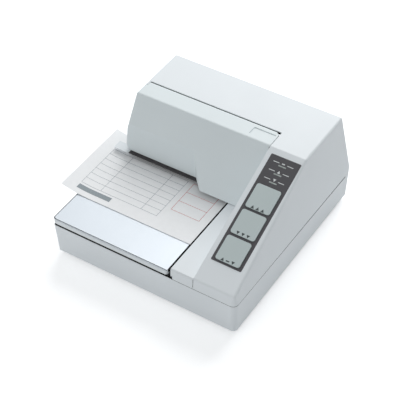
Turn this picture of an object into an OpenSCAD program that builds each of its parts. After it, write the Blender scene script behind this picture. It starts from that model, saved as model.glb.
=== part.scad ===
// Flatbed slip printer: an impact dot matrix head prints through a ribbon onto
// a form that lies on an open table. The throat is open at the front and left.
// Millimetres. The origin is the centre of the lower case's underside.
// X runs to the right, Y to the rear, Z up. The rubber feet reach below Z = 0.

/* [Case] */
// Width of the case at the parting line
case_w = 180; // [176:1:196]
// Depth of the case at the parting line
case_d = 192; // [190:1:204]
// Height of the case from its underside to the flat top
case_h = 94; // [92:1:102]
// Height of the widest line round the case, where the parting line starts at the front
split_h = 33; // [32:0.5:34]
// How far the parting line falls from the front to the rear
split_fall = 6; // [4:0.5:7]
// Open joint between the two halves of the case
split_gap = 0.5; // [0.4:0.05:0.7]
// Wall thickness of the case mouldings
wall = 2.2; // [1.8:0.1:2.4]
// Radius of the upright corner below the control tower
corner_r = 5; // [4:0.5:7]
// Radius of the three other upright corners
sharp_r = 2; // [1.5:0.25:3]
// Radius along the top edges of the case
edge_r = 2.4; // [2:0.2:3]
// How far each side wall leans in from the parting line to the top
side_lean = 5.8; // [4:0.2:6.4]
// How far the rear wall leans in from the parting line to the top
rear_lean = 9; // [6:0.5:9.5]
// Distance from the rear of the case forward to the ridge
ridge_back = 71.4; // [70:0.2:73]
// Height of the low front edge where the tower's slope ends
front_h = 43.8; // [43.4:0.1:45]
// How far the front wall leans back below the slope
front_lean = 1; // [0.4:0.2:2]
// How far the lower case tapers in towards its underside
draft = 1.2; // [0.6:0.2:2]
// How far the lower case stands in from the upper case at the rear
rear_step = 1; // [0.4:0.2:2]
// Chamfer along the edge of the underside
base_chamfer = 1.5; // [1:0.25:2]

/* [Front layout] */
// Width of the control tower on the right
tower_w = 39.8; // [38:0.2:41]
// Width of the fixed paper guide beside the tower
guide_w = 21.4; // [20:0.2:23]
// Gap between the slip table and the paper guide
table_gap = 3.6; // [3.2:0.1:4]
// Height of the table's surface above the parting line
table_rise = 6; // [5:0.25:6.5]
// Thickness of the slip table
table_t = 2.2; // [1.6:0.1:2.6]
// Thickness of the steel plate that is let into the table
plate_t = 0.6; // [0.5:0.1:0.8]
// Shadow gap below the table's skirt
skirt_gap = 1; // [0.8:0.1:1.4]
// Radius of the table's front corners
table_corner_r = 2.8; // [2.6:0.2:4]
// Depth of the throat, from the rear of the case to the throat's end
throat_back = 34; // [33:0.5:35]

/* [Ribbon cover] */
// Depth of the cover's flat top, from the ridge to its hinge axis
cover_top = 16.4; // [16:0.2:17]
// How far the hinge axis lies below the top, which is also the bead's radius
hinge_drop = 2; // [1.8:0.1:2.2]
// Radius of the hinge pins
hinge_pin_r = 1; // [0.8:0.1:1.1]
// Length of each hinge pin
hinge_pin_l = 8; // [7:0.5:10]
// How far the cover's face runs forward from the ridge to its lower edge
cover_reach = 32.4; // [30:0.2:33]
// Height of the crease above the cover's lower edge, on the left
crease_up = 25.7; // [22:0.2:28]
// How far the lower left face is set back at the cover's lower edge
recess_back = 12.1; // [10:0.2:13]
// Right end of the set back face, measured from the cover's right end
recess_right = 61; // [56:0.5:66]
// Radius of the cover's lower left corner
cover_corner_r = 6; // [4:0.5:7]
// Radius of the cover's rear right corner
cover_rear_r = 3; // [2:0.25:3.5]
// Width of the finger recess on the cover's top
finger_w = 21; // [16:0.5:24]
// Depth of the finger recess from front to rear
finger_d = 9.7; // [7:0.25:10]
// How deep the finger recess is pressed in
finger_t = 0.6; // [0.4:0.1:0.9]

/* [Control panel] */
// Width of the dark control panel
panel_w = 28.2; // [27:0.2:30]
// Length of the dark control panel down the slope
panel_l = 103; // [101:0.5:105]
// Distance from the ridge down the slope to the panel
panel_top = 5.6; // [5:0.2:6.5]
// Distance from the tower's inner face to the panel
panel_in = 4.3; // [4:0.1:5]
// Thickness of the control panel
panel_t = 0.8; // [0.6:0.1:1]
// How far the control panel is let into the slope
panel_sunk = 0.6; // [0.4:0.1:0.6]
// Side length of each button
button_s = 22.5; // [21:0.25:23]
// Distance from one button to the next
button_pitch = 25; // [24.6:0.1:25.2]
// Bare margin between the last button and the panel's lower edge
button_margin = 2; // [1.6:0.2:3]
// Radius of a button's corners
button_r = 2; // [1:0.25:3]
// How far a button stands above the panel
button_up = 0.8; // [0.5:0.1:1]
// How far a button can be pressed
button_travel = 0.9; // [0.6:0.1:1]
// Length of each indicator bar
lamp_l = 7; // [5:0.5:9]
// Width of each indicator bar
lamp_w = 1.1; // [0.8:0.1:1.6]
// Distance from the last indicator to the first button
lamp_last = 3.5; // [3:0.1:4.5]
// Distance from the panel's upper edge to the first indicator
lamp_first = 9; // [8:0.2:9.4]

/* [Print mechanism] */
// Distance from the tower's inner face to the right side plate
plate_in = 4.2; // [4:0.1:5]
// Distance between the outer faces of the two side plates
plate_span = 124; // [122:0.5:125]
// Thickness of the steel plates
steel_t = 1.6; // [1.2:0.1:1.8]
// Radius of the carriage's guide shaft
shaft_r = 3; // [2.5:0.25:3.25]
// Width of the carriage
carriage_w = 24; // [22:0.5:25]
// Side length of the print head's finned body
head_s = 21; // [19:0.5:22]
// Number of cooling fins on the print head
head_fins = 6; // [4:1:7]
// Width of the print head's nose along the print line
nose_w = 8; // [6:0.5:9]
// Depth of the print head's nose across the print line
nose_d = 5; // [4:0.5:6]
// Pitch radius of the belt pulleys
pulley_r = 6; // [5.6:0.1:6]
// Width of the carriage belt
belt_w = 4; // [3:0.25:4.5]
// Thickness of the carriage belt
belt_t = 1.2; // [0.9:0.1:1.3]
// Radius of the carriage motor
motor_r = 16; // [14:0.5:16.5]
// Length of the carriage motor
motor_l = 20; // [17:0.5:20.5]
// Width of the ribbon cassette
cassette_w = 116; // [114:0.5:117]
// Thickness of the ribbon cassette
cassette_t = 12.4; // [11:0.2:12.6]
// Height of the ribbon cassette's box
cassette_h = 20; // [18:0.5:20]
// Width of each arm that hangs from the cassette
arm_w = 8; // [7:0.25:8.5]
// Width of the inked ribbon
ribbon_w = 10.4; // [8:0.2:10.6]
// Radius of the ribbon knob
knob_r = 5; // [4:0.25:5.25]

/* [Paper feed] */
// Radius of the feed rollers
feed_r = 6; // [5.5:0.1:6.2]
// Radius of the feed roller shaft
feed_shaft_r = 2.5; // [2:0.1:2.8]
// Radius of the pinch rollers
pinch_r = 4.5; // [4:0.1:4.8]
// Radius of the pinch roller shaft
pinch_shaft_r = 1.5; // [1.2:0.1:1.8]
// Length of each roller
roller_l = 14; // [12:0.5:15]
// Distance between the two rollers, centre to centre
roller_pitch = 56; // [52:0.5:58]
// Radius of the feed motor
feed_motor_r = 17; // [15:0.5:17]
// Length of the feed motor
feed_motor_l = 21; // [18:0.5:21]
// Size of a gear tooth, its module
gear_m = 0.8; // [0.7:0.05:0.9]
// Number of teeth on the feed shaft's gear
feed_teeth = 46; // [44:1:46]
// Number of teeth on the feed motor's pinion
feed_pinion_teeth = 11; // [10:1:12]
// Radius of the release solenoid's plunger rod
rod_r = 1; // [0.8:0.1:1.1]

/* [Slip form] */
// Width of the form that lies on the table
slip_w = 132; // [110:1:140]
// Length of the form from front to rear
slip_l = 115; // [90:1:120]
// Width of the corner that is cut off the form at its rear left
cut_w = 14; // [10:1:16]
// Length of the corner that is cut off the form at its rear left
cut_l = 32; // [24:1:36]
// Thickness of the form, made of several plies
slip_t = 0.3; // [0.2:0.05:0.4]
// Width of the strip at the left that curls up
curl_w = 28; // [20:1:34]
// How far the form's left edge curls up
curl_up = 4; // [1:0.5:5]

/* [Rear panel and feet] */
// Height of the connectors' centre line above the underside
port_z = 17; // [15:0.5:18]
// Width of the interface connector's flange
port_w = 53; // [50:0.5:55]
// Height of the interface connector's flange
port_h = 12.5; // [11:0.25:13]
// Distance between the interface connector's screw posts
port_posts = 47; // [46:0.1:47.5]
// Radius of the power inlet's barrel
inlet_r = 7; // [6:0.25:8]
// Width of the power switch's rocker
rocker_w = 15; // [13:0.25:16]
// Height of the power switch's rocker
rocker_h = 9.6; // [8:0.2:10.5]
// Angle between the rocker's two faces and the middle
rocker_a = 9; // [6:0.5:11]
// Radius of the rubber feet
foot_r = 6.5; // [5:0.25:8]
// Height of the rubber feet
foot_h = 3; // [2:0.25:5]
// Radius of the case screws
screw_r = 1.5; // [1.25:0.05:1.75]

/* [Fits] */
// Gap between parts that move past each other
run_gap = 0.3; // [0.3:0.05:0.35]
// Radial clearance of a shaft that turns or slides in its bore
fit = 0.05; // [0.04:0.01:0.06]
// Visible gap between the cover and the case
cover_gap = 0.5; // [0.4:0.05:0.6]

/* [Hidden] */
$fn = 64;

// Colours of the finishes
white_shell = "#e3e8ec";
grey_face = "#b2bfc1";
table_white = "#e9eef3";
key_grey = "#b9c8c8";
panel_black = "#3b393c";
steel = "#aeb3b8";
zinc = "#c3c7c2";
black_plastic = "#2b2c2e";
board_green = "#2f6b4a";
rubber = "#232325";

// Case, from the driving sizes
right_x = case_w / 2;
front_y = -case_d / 2;
rear_y = case_d / 2;
ridge_y = rear_y - ridge_back;
end_x = right_x - side_lean;
lean_a = atan(side_lean / (case_h - split_h));
front_foot = [front_y, split_h];
split_rear = split_h - split_fall;
front_top = [front_y + front_lean, front_h];
ridge = [ridge_y, case_h];
rear_top = [rear_y - rear_lean, case_h];
rear_foot = [rear_y, split_h];
slope_a = atan((case_h - front_h) / (ridge_y - front_y - front_lean));
big = 400;
skin = 0.02;

// Layout from left to right and from the table up
tower_x = right_x - tower_w;
guide_x = tower_x - guide_w;
table_x = guide_x - table_gap;
table_left = -right_x - run_gap;
table_z = split_h + table_rise;
cover_z = front_h + cover_gap;
slip_z = table_z + run_gap;
slip_top = slip_z + slip_t;
throat_y = rear_y - throat_back;
throat_z = cover_z + 0.7;
guide_end = ridge_y - 2.6;

// Hinge of the ribbon cover
hinge = [ridge_y + cover_top, case_h - hinge_drop];
bay_y = hinge[0] + hinge_drop + cover_gap;
cover_back = bay_y - cover_gap + 0.1;
cover_right = tower_x - cover_gap;
horn_x = -end_x + 2.8;
horn_y = hinge[0] - 2.2;
face_m = cover_reach / (case_h - cover_z);
crease_z = cover_z + crease_up;
crease_y = ridge_y - face_m * (case_h - crease_z);
face_foot = ridge_y - cover_reach;
recess_y = face_foot + recess_back;
jog_x = cover_right - recess_right;

// Control panel, measured down the slope from the ridge
panel_x = tower_x + panel_in;
button_x = panel_x + panel_w / 2;
button_last = -(panel_top + panel_l - button_margin - button_s / 2);
button_first = button_last + 2 * button_pitch + button_s / 2;
lamp_pitch = (-panel_top - lamp_first - lamp_last - button_first) / 2;
board_z = -9.6;
switch_h = 4;
post_r = 2.2;
post_in = 1.5;
flange_t = 1.4;

// Print mechanism
plate_x1 = tower_x - plate_in;
plate_x0 = plate_x1 - plate_span;
frame_y = throat_y + 2;
cheek_y = ridge_y - 4.6;
guide_front = ridge_y - 16.6;
frame_top = case_h - 8;
cheek_top = case_h - 12;
guide_z0 = throat_z;
guide_z = guide_z0 + 1;
print_y = ridge_y + 6.4;
shaft_c = [print_y + 15, throat_z + 16];
cassette_x0 = plate_x0 + 4;
cassette_x1 = cassette_x0 + cassette_w;
cassette_z1 = case_h - 6;
cassette_z0 = cassette_z1 - cassette_h;
ribbon_z = slip_top + 0.5;
ribbon_t = 0.2;
home_x = cassette_x0 + arm_w + 0.5 + carriage_w / 2 + 1;
nose_z = ribbon_z + ribbon_t + run_gap;
head_z0 = guide_z + 4;
head_z1 = cassette_z0 - 1.5;
head_back = shaft_c[0] - 5;
head_front = head_back - head_s;
motor_c = [plate_x1 - 10, shaft_c[1] + 3];
idler_x = plate_x0 + 10;
belt_y = frame_y - 9.5;
rail_z = motor_c[1] + pulley_r + belt_t / 2 + 0.6;
spindle = [motor_c[0] - 8, cassette_z1 - 10];
spindle_r = 1.5;
knob_y = print_y - 10;
gear_w = 3;
gear_y = frame_y - 0.7 - gear_w;
train = norm([motor_c[0] - spindle[0], motor_c[1] - spindle[1]]);
ribbon_pinion_teeth = round(2 * 5 / gear_m);
ribbon_gear_teeth = floor(2 * train / gear_m) - ribbon_pinion_teeth;

// Paper feed
feed_c = [shaft_c[0], table_z - feed_r];
pinch_c = [feed_c[0], slip_top + run_gap + pinch_r];
pivot_c = [feed_c[0] + 12, guide_z + 3.5];
roller_x = [plate_x0 + 25, plate_x0 + 25 + roller_pitch];
arm_t = 2;
beam_z = [table_z - 17, table_z - 9];
arm_x = [roller_x[0] - roller_l / 2 - 4.5, roller_x[1] + roller_l / 2 + 2.5];
tab_x = arm_x[0] - 2;
tab_w = 6;
rod_z = pivot_c[1] + 5.9;
feed_plate_x = tower_x - 0.2;
gear_x = feed_plate_x + 2.2;
feed_train = gear_m * (feed_teeth + feed_pinion_teeth) / 2 + 0.05;
feed_motor_c = feed_c + feed_train * [cos(-28.8), sin(-28.8)];
stop_y = throat_y - 7;
stop_w = 9;
stop_mid = (roller_x[0] + roller_x[1] - stop_w) / 2;
stop_x = [stop_mid - 10, stop_mid + 10];
stop_t = 1.2;

// Case fixings
boss_x = right_x - 14;
boss_y = rear_y - 12;
boss_r = 4;
boss_z = 20;
foot_x = right_x - 16;
foot_y = rear_y - 30;
board = [-right_x + 18, front_y + 24, tower_x - 30, ridge_y - 4];
board_h = 8;
board_t = 1.6;
port_x = -14;
rear_board = [port_x - 32, rear_y - 28, port_x + 38, rear_y - 8];
inlet_x = -right_x + 28;
switch_x = tower_x - 11.2;
ground_x = port_x + 36;
rocker_rim = 2.6;
rear_seat = rear_face(port_z - rocker_h / 2 - rocker_rim);
bank = [-30, front_y + 34, 26, 14];
lip_t = 1.2;

// Centre of a circle of radius r that rounds corner b between a and c
function round_centre(a, b, c, r) =
    let (u = (a - b) / norm(a - b), v = (c - b) / norm(c - b), m = u + v)
    b + m / norm(m) * r / sqrt((1 - u * v) / 2);
// Half width of the case's leaning side at height z
function side_x(z) = right_x - side_lean * (z - split_h) / (case_h - split_h);
// Outer face of the lower case's rear wall at height z
function rear_face(z) = rear_y - draft * (1 - (z - base_chamfer) / (split_h - base_chamfer))
    - rear_step * (1 - z / split_h);
// Turn that brings gear b into mesh with gear a, from their centres and teeth
function mesh_turn(ca, cb, na, nb) =
    let (t = atan2(cb[1] - ca[1], cb[0] - ca[0])) t + 180 - 360 / nb * (1.3 - t * na / 360);

// Centres of the rounding along the case's top, at inset r from its faces, in Y-Z
function top_balls(r) = [
    round_centre(front_foot, front_top, ridge, r),
    round_centre(front_top, ridge, rear_top, r),
    round_centre(ridge, rear_top, rear_foot, r)
];

// Extrudes a Y-Z outline along X
module along_x(x0, x1) translate([x0, 0, 0]) rotate([90, 0, 90]) linear_extrude(x1 - x0) children();
// Extrudes an X-Z outline along Y
module along_y(y0, y1) translate([0, y1, 0]) rotate([90, 0, 0]) linear_extrude(y1 - y0) children();
// Extrudes an X-Y outline along Z
module along_z(z0, z1) translate([0, 0, z0]) linear_extrude(z1 - z0) children();
module block(p, q) translate(p) cube(q - p);
module rod_x(x0, x1, c, r) translate([x0, c[0], c[1]]) rotate([0, 90, 0]) cylinder(r = r, h = x1 - x0);
module rod_y(y0, y1, c, r) translate([c[0], y0, c[1]]) rotate([-90, 0, 0]) cylinder(r = r, h = y1 - y0);
module rod_z(z0, z1, c, r) translate([c[0], c[1], z0]) cylinder(r = r, h = z1 - z0);
// Rectangle with round corners, from corner p to corner q
module rounded(p, q, r) {
    translate([p[0] + r, p[1]]) square([q[0] - p[0] - 2 * r, q[1] - p[1]]);
    translate([p[0], p[1] + r]) square([q[0] - p[0], q[1] - p[1] - 2 * r]);
    for (x = [p[0] + r, q[0] - r], y = [p[1] + r, q[1] - r]) translate([x, y]) circle(r);
}
// Places children on the tower's slope, with the ridge at Y = 0
module on_slope() translate([0, ridge_y, case_h]) rotate([slope_a, 0, 0]) children();

// Spur gear outline: straight sided teeth of the given module
module gear_outline(teeth) {
    r0 = gear_m * teeth / 2 - 1.15 * gear_m;
    r1 = gear_m * teeth / 2 + 0.8 * gear_m;
    step = 360 / teeth;
    polygon([for (i = [0 : teeth - 1], p = [[0.03, r0], [0.3, r1], [0.5, r1], [0.77, r0]])
        p[1] * [cos((i + p[0]) * step), sin((i + p[0]) * step)]]);
}

// Upright corners of the case: the front right one is rounder than the others
corners = [[1, -1, corner_r], [1, 1, sharp_r], [-1, 1, sharp_r], [-1, -1, sharp_r]];
// Leaning, rounded form of the whole upper case; shrink gives its inner face
module case_form(shrink = 0) hull() {
    r = max(edge_r - shrink, 0.4);
    for (s = [-1, 1], c = top_balls(r + shrink))
        translate([s * (side_x(c[1]) - (r + shrink) / cos(lean_a)), c[0], c[1]]) sphere(r, $fn = 28);
    for (k = corners) {
        q = max(k[2] - shrink, 0.4) + shrink;
        translate([k[0] * (right_x - q), k[1] * (rear_y - q), split_h - (shrink > 0 ? 2 : 0)])
            cylinder(r = q - shrink, h = 1 + (shrink > 0 ? 2 : 0), $fn = 32);
    }
}

// Tapered tray form of the lower case; each level is a height and an inset
module tray_form(levels) hull() for (v = levels, k = corners) {
    q = max(k[2] - v[1] / 2, 0.4);
    translate([k[0] * (right_x - v[1] - q),
        k[1] * (rear_y - v[1] - q) - (k[1] > 0 ? rear_step * (1 - v[0] / split_h) : 0), v[0]])
        cylinder(r = q, h = 0.1, $fn = 32);
}
// Everything below the falling parting line, lowered by drop
module below_parting(drop = 0) along_x(-big, big) polygon([[front_y - 10, -10], [rear_y + 10, -10],
    [rear_y + 10, split_rear - drop], [front_y, split_h - drop], [front_y - 10, split_h - drop]]);

module lower_case() color(white_shell) difference() {
    union() {
        intersection() {
            difference() {
                tray_form([[0, draft + base_chamfer], [base_chamfer, draft], [split_h - 0.1, 0]]);
                tray_form([[wall, draft + wall], [split_h, wall]]);
            }
            below_parting(split_gap);
        }
        for (x = [-boss_x, boss_x], y = [-boss_y, boss_y]) rod_z(wall - skin, boss_z, [x, y], boss_r);
        for (x = [board[0] + 4, board[2] - 4], y = [board[1] + 4, board[3] - 4])
            rod_z(wall - skin, board_h, [x, y], 3);
        for (x = [rear_board[0] + 4, rear_board[2] - 4])
            rod_z(wall - skin, board_h, [x, rear_board[1] + 4], 3);
        for (x = [cassette_x0 + 12, table_x - 8]) rod_z(wall - skin, beam_z[0], [x, print_y], boss_r);
        for (x = [-40, 0, 40]) block([x - 0.8, front_y + wall + 1, wall - skin], [x + 0.8, board[1] - 6, 8]);
    }
    for (x = [-boss_x, boss_x], y = [-boss_y, boss_y]) {
        rod_z(-1, boss_z + 1, [x, y], screw_r + 0.1);
        rod_z(-1, 3, [x, y], 2 * screw_r + 0.4);
    }
    along_z(-1, lip_t) rounded([bank[0], bank[1]], [bank[0] + bank[2], bank[1] + bank[3]], 1.5);
    block([bank[0] + 2, bank[1] + 2, -1], [bank[0] + bank[2] - 2, bank[1] + bank[3] - 2, wall + 1]);
    along_y(rear_y - 8, rear_y + 1)
        rounded([port_x - port_w / 2 - 1, port_z - port_h / 2 - 1],
            [port_x + port_w / 2 + 1, port_z + port_h / 2 + 1], 1);
    rod_y(rear_y - 8, rear_y + 1, [inlet_x, port_z], inlet_r + 0.5);
    block([switch_x - rocker_w / 2 - 2, rear_y - 8, port_z - rocker_h / 2 - 1.6],
        [switch_x + rocker_w / 2 + 2, rear_y + 1, port_z + rocker_h / 2 + 1.6]);
    rod_y(rear_y - 8, rear_y + 1, [ground_x, port_z], 1.6);
    rod_y(rear_seat, rear_y + 1, [ground_x, port_z], 3.2);
    block([switch_x - rocker_w / 2 - rocker_rim - 0.6, rear_seat, port_z - rocker_h / 2 - rocker_rim - 0.2],
        [switch_x + rocker_w / 2 + rocker_rim + 0.6, rear_y + 1, port_z + rocker_h / 2 + rocker_rim + 0.2]);
}

module upper_case() color(white_shell) difference() {
    union() {
        difference() {
            union() {
                case_form();
                difference() {
                    tray_form([[split_rear - 2, draft / 4], [split_h - 0.1 + skin, 0]]);
                    below_parting();
                }
            }
            case_form(wall);
            tray_form([[split_rear - 4, draft / 4 + wall], [split_h, wall]]);
            block([-big, -big, 0], [tower_x, bay_y, big]);
            block([-big, 0, 0], [-end_x + 10, throat_y + 0.4, throat_z]);
        }
        intersection() {
            case_form(0.1);
            union() {
                difference() {
                    block([tower_x, front_y, split_h], [tower_x + wall, bay_y + wall, case_h]);
                    block([tower_x - 1, guide_end + 2, 0], [tower_x + wall + 1, big, guide_z + 8]);
                }
                block([-right_x, bay_y, case_h - 7], [tower_x + wall, bay_y + wall, case_h]);
                block([-right_x, horn_y, hinge[1] - 2.2], [horn_x, bay_y + 1, case_h]);
                for (s = [-1, 1]) rod_z(boss_z, case_h, [s * boss_x, boss_y], boss_r);
                rod_z(boss_z, case_h, [boss_x, -boss_y], boss_r);
            }
        }
        for (s = [-1, 1]) rod_z(boss_z, split_h + 5, [s * boss_x, boss_y], boss_r);
        rod_z(boss_z, front_h - 4, [boss_x, -boss_y], boss_r);
        on_slope() for (x = [panel_x + post_in, panel_x + panel_w - post_in],
                y = [button_first + 4.1, -panel_top - panel_l - 1])
            translate([x, y, board_z]) cylinder(r = post_r, h = -board_z - 1);
    }
    for (x = [-end_x - 2, tower_x - 1]) rod_x(x, x + 6, hinge, hinge_pin_r + fit);
    for (p = [[-boss_x, boss_y], [boss_x, boss_y], [boss_x, -boss_y]])
        rod_z(boss_z - 1, boss_z + 11, p, screw_r + fit);
    on_slope() {
        translate([0, 0, -panel_sunk]) along_z(0, 10)
            rounded([panel_x, -panel_top - panel_l], [panel_x + panel_w, -panel_top], 1);
        for (i = [0 : 2]) along_z(-10, 10)
            square_at([button_x, button_last + i * button_pitch], button_s + 1);
        for (i = [0 : 2]) lamp_at(i) along_z(-10, 10) square([lamp_l + 0.4, lamp_w + 0.4], center = true);
    }
}
module square_at(c, s) translate(c) square(s, center = true);
module lamp_at(i) translate([button_x, -panel_top - lamp_first - i * lamp_pitch + lamp_w, 0]) children();

module slip_table() color(table_white) difference() {
    union() {
        difference() {
            along_z(split_rear - 1, table_z - plate_t)
                rounded([table_left, front_y + 0.6], [table_x, throat_y + table_corner_r], table_corner_r);
            along_z(0, table_z - table_t)
                rounded([table_left + wall, front_y + 0.6 + wall], [table_x - wall, throat_y - wall],
                    table_corner_r - wall);
            below_parting(-skirt_gap);
            block([table_left + wall + 1, front_y + 4, 0], [big, big, split_h + skirt_gap]);
            block([-big, throat_y, 0], [big, big, big]);
        }
        for (x = [plate_x0 + 2, table_x - 7.2])
            block([x, feed_c[0] - 6, feed_c[1] - 5], [x + 3, feed_c[0] + 6, table_z - table_t + skin]);
        rod_z(boss_z, table_z - table_t + skin, [-boss_x, -boss_y], boss_r);
        for (x = [85.2, 45.2, 15.2])
            block([table_x - x, front_y + wall, split_h + 1],
                [table_x - x + 1.6, print_y - 8, table_z - table_t + skin]);
    }
    rod_z(boss_z - 1, boss_z + 11, [-boss_x, -boss_y], screw_r + fit);
    rod_x(plate_x0 + 1, table_x - 3.2, feed_c, feed_shaft_r + fit);
    block([table_x - wall - 1, feed_c[0] - feed_shaft_r - 0.5, 0],
        [table_x + 1, feed_c[0] + feed_shaft_r + 0.5, feed_c[1] + feed_shaft_r + 0.5]);
    table_slots();
}

// Openings that the table and its plate share: platen, rollers and stoppers
module table_slots() {
    block([cassette_x0 + 8, print_y - 4, 0], [table_x - 4, print_y + 4, big]);
    for (x = roller_x)
        block([x - roller_l / 2 - 0.5, feed_c[0] - 5.6, 0], [x + roller_l / 2 + 0.5, feed_c[0] + 5.6, big]);
    for (x = stop_x) block([x - 0.4, stop_y - 0.4, 0], [x + stop_w + 0.4, stop_y + stop_t + 0.4, big]);
}
module table_plate() color(steel) difference() {
    along_z(table_z - plate_t, table_z)
        rounded([table_left - 0.4, front_y + 1], [table_x, throat_y - 1], table_corner_r);
    table_slots();
}

module paper_guide() color(white_shell) difference() {
    intersection() {
        block([guide_x, front_y, split_h], [tower_x - 0.2, guide_end, front_h]);
        along_x(-big, big) polygon([[front_y, split_h], [front_y + 0.5, front_h - 1.2],
            [front_y + 1.7, front_h],
            [guide_end, front_h], [guide_end, split_h]]);
    }
    block([guide_x + wall, front_y + wall + 1, 0], [tower_x - wall, guide_end - wall, front_h - wall]);
    block([guide_x - 1, front_y - 1, 0], [guide_x + 1.6, front_y + 3, split_h + 3]);
}

// Smooth body of the ribbon cover, before it is cut open; shrink gives its inner face
module cover_form(shrink = 0) {
    back = bay_y + 20;
    low = cover_z - 16;
    foot = [ridge_y - face_m * (case_h - low), low];
    r = max(edge_r - shrink, 0.4);
    q = r + shrink;
    hull() for (c = [round_centre([back, low], foot, ridge, q), round_centre(foot, ridge, [back, case_h], q),
            [back, case_h - q], [back, low + q]]) {
        translate([-end_x + q, c[0], c[1]]) sphere(r, $fn = 28);
        translate([cover_right - shrink - 1, c[0], c[1]]) rotate([0, 90, 0]) cylinder(r = r, h = 1, $fn = 28);
    }
}
// Space in front of the set back lower left face, moved inwards by t
module recess_wedge(t = 0) intersection() {
    m = (crease_y - recess_y) / (crease_z - cover_z);
    lift = t * 0.8;
    along_x(-big, big) polygon([[crease_y + t + (m - face_m) * lift, crease_z + lift],
        [recess_y + t - 20 * m, cover_z - 20],
        [-big, cover_z - 20], [-big, crease_z + lift]]);
    along_z(0, big) polygon([[-big, -big], [jog_x + t + 11.5 * 8, recess_y - 12.1 * 8],
        [jog_x + t - 11.5 * 3, recess_y + 12.1 * 3],
        [-big, recess_y + 12.1 * 3]]);
}
module ribbon_cover() color(grey_face) difference() {
    union() {
        difference() {
            intersection() {
                difference() {
                    cover_form();
                    recess_wedge();
                }
                along_y(-big, cover_back) rounded([-end_x - skin, cover_z], [big, big], cover_corner_r);
            }
            difference() {
                cover_form(wall);
                recess_wedge(wall);
            }
            block([-big, hinge[0], 0], [big, big, big]);
        }
        rod_x(horn_x + 0.4, cover_right - cover_rear_r, hinge, hinge_drop);
        for (x = [-end_x + 0.6, cover_right - wall])
            block([x, hinge[0] - 8, cover_z], [x + wall, cover_back, hinge[1] - hinge_drop]);
    }
    rod_x(horn_x, horn_x + hinge_pin_l, hinge, hinge_pin_r);
    rod_x(cover_right - hinge_pin_l - cover_rear_r, big, hinge, hinge_pin_r);
    block([-big, horn_y - 0.8, hinge[1] - 3.5], [horn_x + 0.4, big, big]);
    difference() {
        block([cover_right - cover_rear_r, cover_back - 2 - cover_rear_r, hinge[1] - 3], [big, big, big]);
        rod_z(0, big, [cover_right - cover_rear_r, cover_back - 2 - cover_rear_r], cover_rear_r);
    }
    along_z(case_h - finger_t, big)
        rounded([cover_right - finger_w - 1.8, ridge_y + 3.9],
            [cover_right - 1.8, ridge_y + 3.9 + finger_d], 1);
}
module hinge_pins() color(steel) {
    rod_x(-end_x + 0.9, horn_x + hinge_pin_l, hinge, hinge_pin_r);
    rod_x(cover_right - hinge_pin_l - cover_rear_r, tower_x + wall, hinge, hinge_pin_r);
}

module control_panel() color(panel_black) on_slope() difference() {
    translate([0, 0, -panel_sunk]) along_z(0, panel_t)
        rounded([panel_x + 0.1, -panel_top - panel_l + 0.1], [panel_x + panel_w - 0.1, -panel_top - 0.1],
            0.9);
    for (i = [0 : 2]) {
        along_z(-5, 5) rounded_at([button_x, button_last + i * button_pitch], button_s + 2 * run_gap,
            button_r + run_gap);
        lamp_at(i) along_z(-5, 5) square([lamp_l + 0.1, lamp_w + 0.1], center = true);
    }
}
module rounded_at(c, s, r) translate(c) rounded([-s / 2, -s / 2], [s / 2, s / 2], r);
module indicator_lenses() color("#c9d2cf") on_slope() for (i = [0 : 2]) lamp_at(i)
    translate([0, 0, -3.6]) along_z(0, 3.6 + panel_t - panel_sunk + 0.1)
        square([lamp_l, lamp_w], center = true);

// One button: i counts up the slope from the lowest
module button(i) color(key_grey) on_slope() translate([button_x, button_last + i * button_pitch, 0]) {
    along_z(-wall - run_gap - flange_t, panel_t - panel_sunk + button_up)
        rounded([-button_s / 2, -button_s / 2], [button_s / 2, button_s / 2], button_r);
    translate([0, 0, -wall - run_gap - flange_t]) linear_extrude(flange_t)
        square([button_s + 1.9, button_s - 1], center = true);
    translate([0, 0, board_z + switch_h + run_gap + button_travel])
        cylinder(r = 2, h = -flange_t - wall - board_z - switch_h - 2 * run_gap - button_travel + skin);
}
module feed_button() button(2);
module reverse_button() button(1);
module release_button() button(0);
module panel_board() color(board_green) on_slope() {
    translate([0, 0, board_z - board_t]) along_z(0, board_t)
        rounded([panel_x - 0.5, -panel_top - panel_l - 3], [panel_x + panel_w - 1, -panel_top - 4], 1);
    for (i = [0 : 2]) {
        translate([button_x - 3, button_last + i * button_pitch - 3, board_z]) cube([6, 6, 3]);
        translate([button_x, button_last + i * button_pitch, board_z]) cylinder(r = 1.7, h = switch_h);
        lamp_at(i) translate([0, 0, board_z]) along_z(0, 4.8) square([4, 2], center = true);
    }
}

// Side plate of the mechanism, in Y-Z
module cheek_outline() difference() {
    polygon([[cheek_y, guide_z], [frame_y, guide_z], [frame_y, cheek_top], [cheek_y + 10, cheek_top],
        [cheek_y, cheek_top - 12]]);
    translate(shaft_c) circle(shaft_r + fit);
    translate(pivot_c) circle(2 + fit);
}
module left_side_plate() color(zinc) along_x(plate_x0, plate_x0 + steel_t) cheek_outline();
module right_side_plate() color(zinc) along_x(plate_x1 - steel_t, plate_x1) cheek_outline();
module rear_frame_plate() color(zinc) difference() {
    leg = [plate_x0 + 28, table_x - 5.2];
    along_y(frame_y, frame_y + steel_t)
        polygon([[plate_x0, frame_top], [plate_x0, guide_z], [leg[0], guide_z],
        [leg[0], wall], [leg[1], wall], [leg[1], guide_z], [plate_x1, guide_z], [plate_x1, frame_top]]);
    rod_y(frame_y - 1, frame_y + 3, motor_c, 4);
    rod_y(frame_y - 1, frame_y + 3, [idler_x, motor_c[1]], 2);
    rod_y(frame_y - 1, frame_y + 3, [arm_x[0] + arm_t / 2, rod_z], rod_r + 0.6);
    rod_y(frame_y - 1, frame_y + 3, spindle, spindle_r + fit);
}
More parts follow.
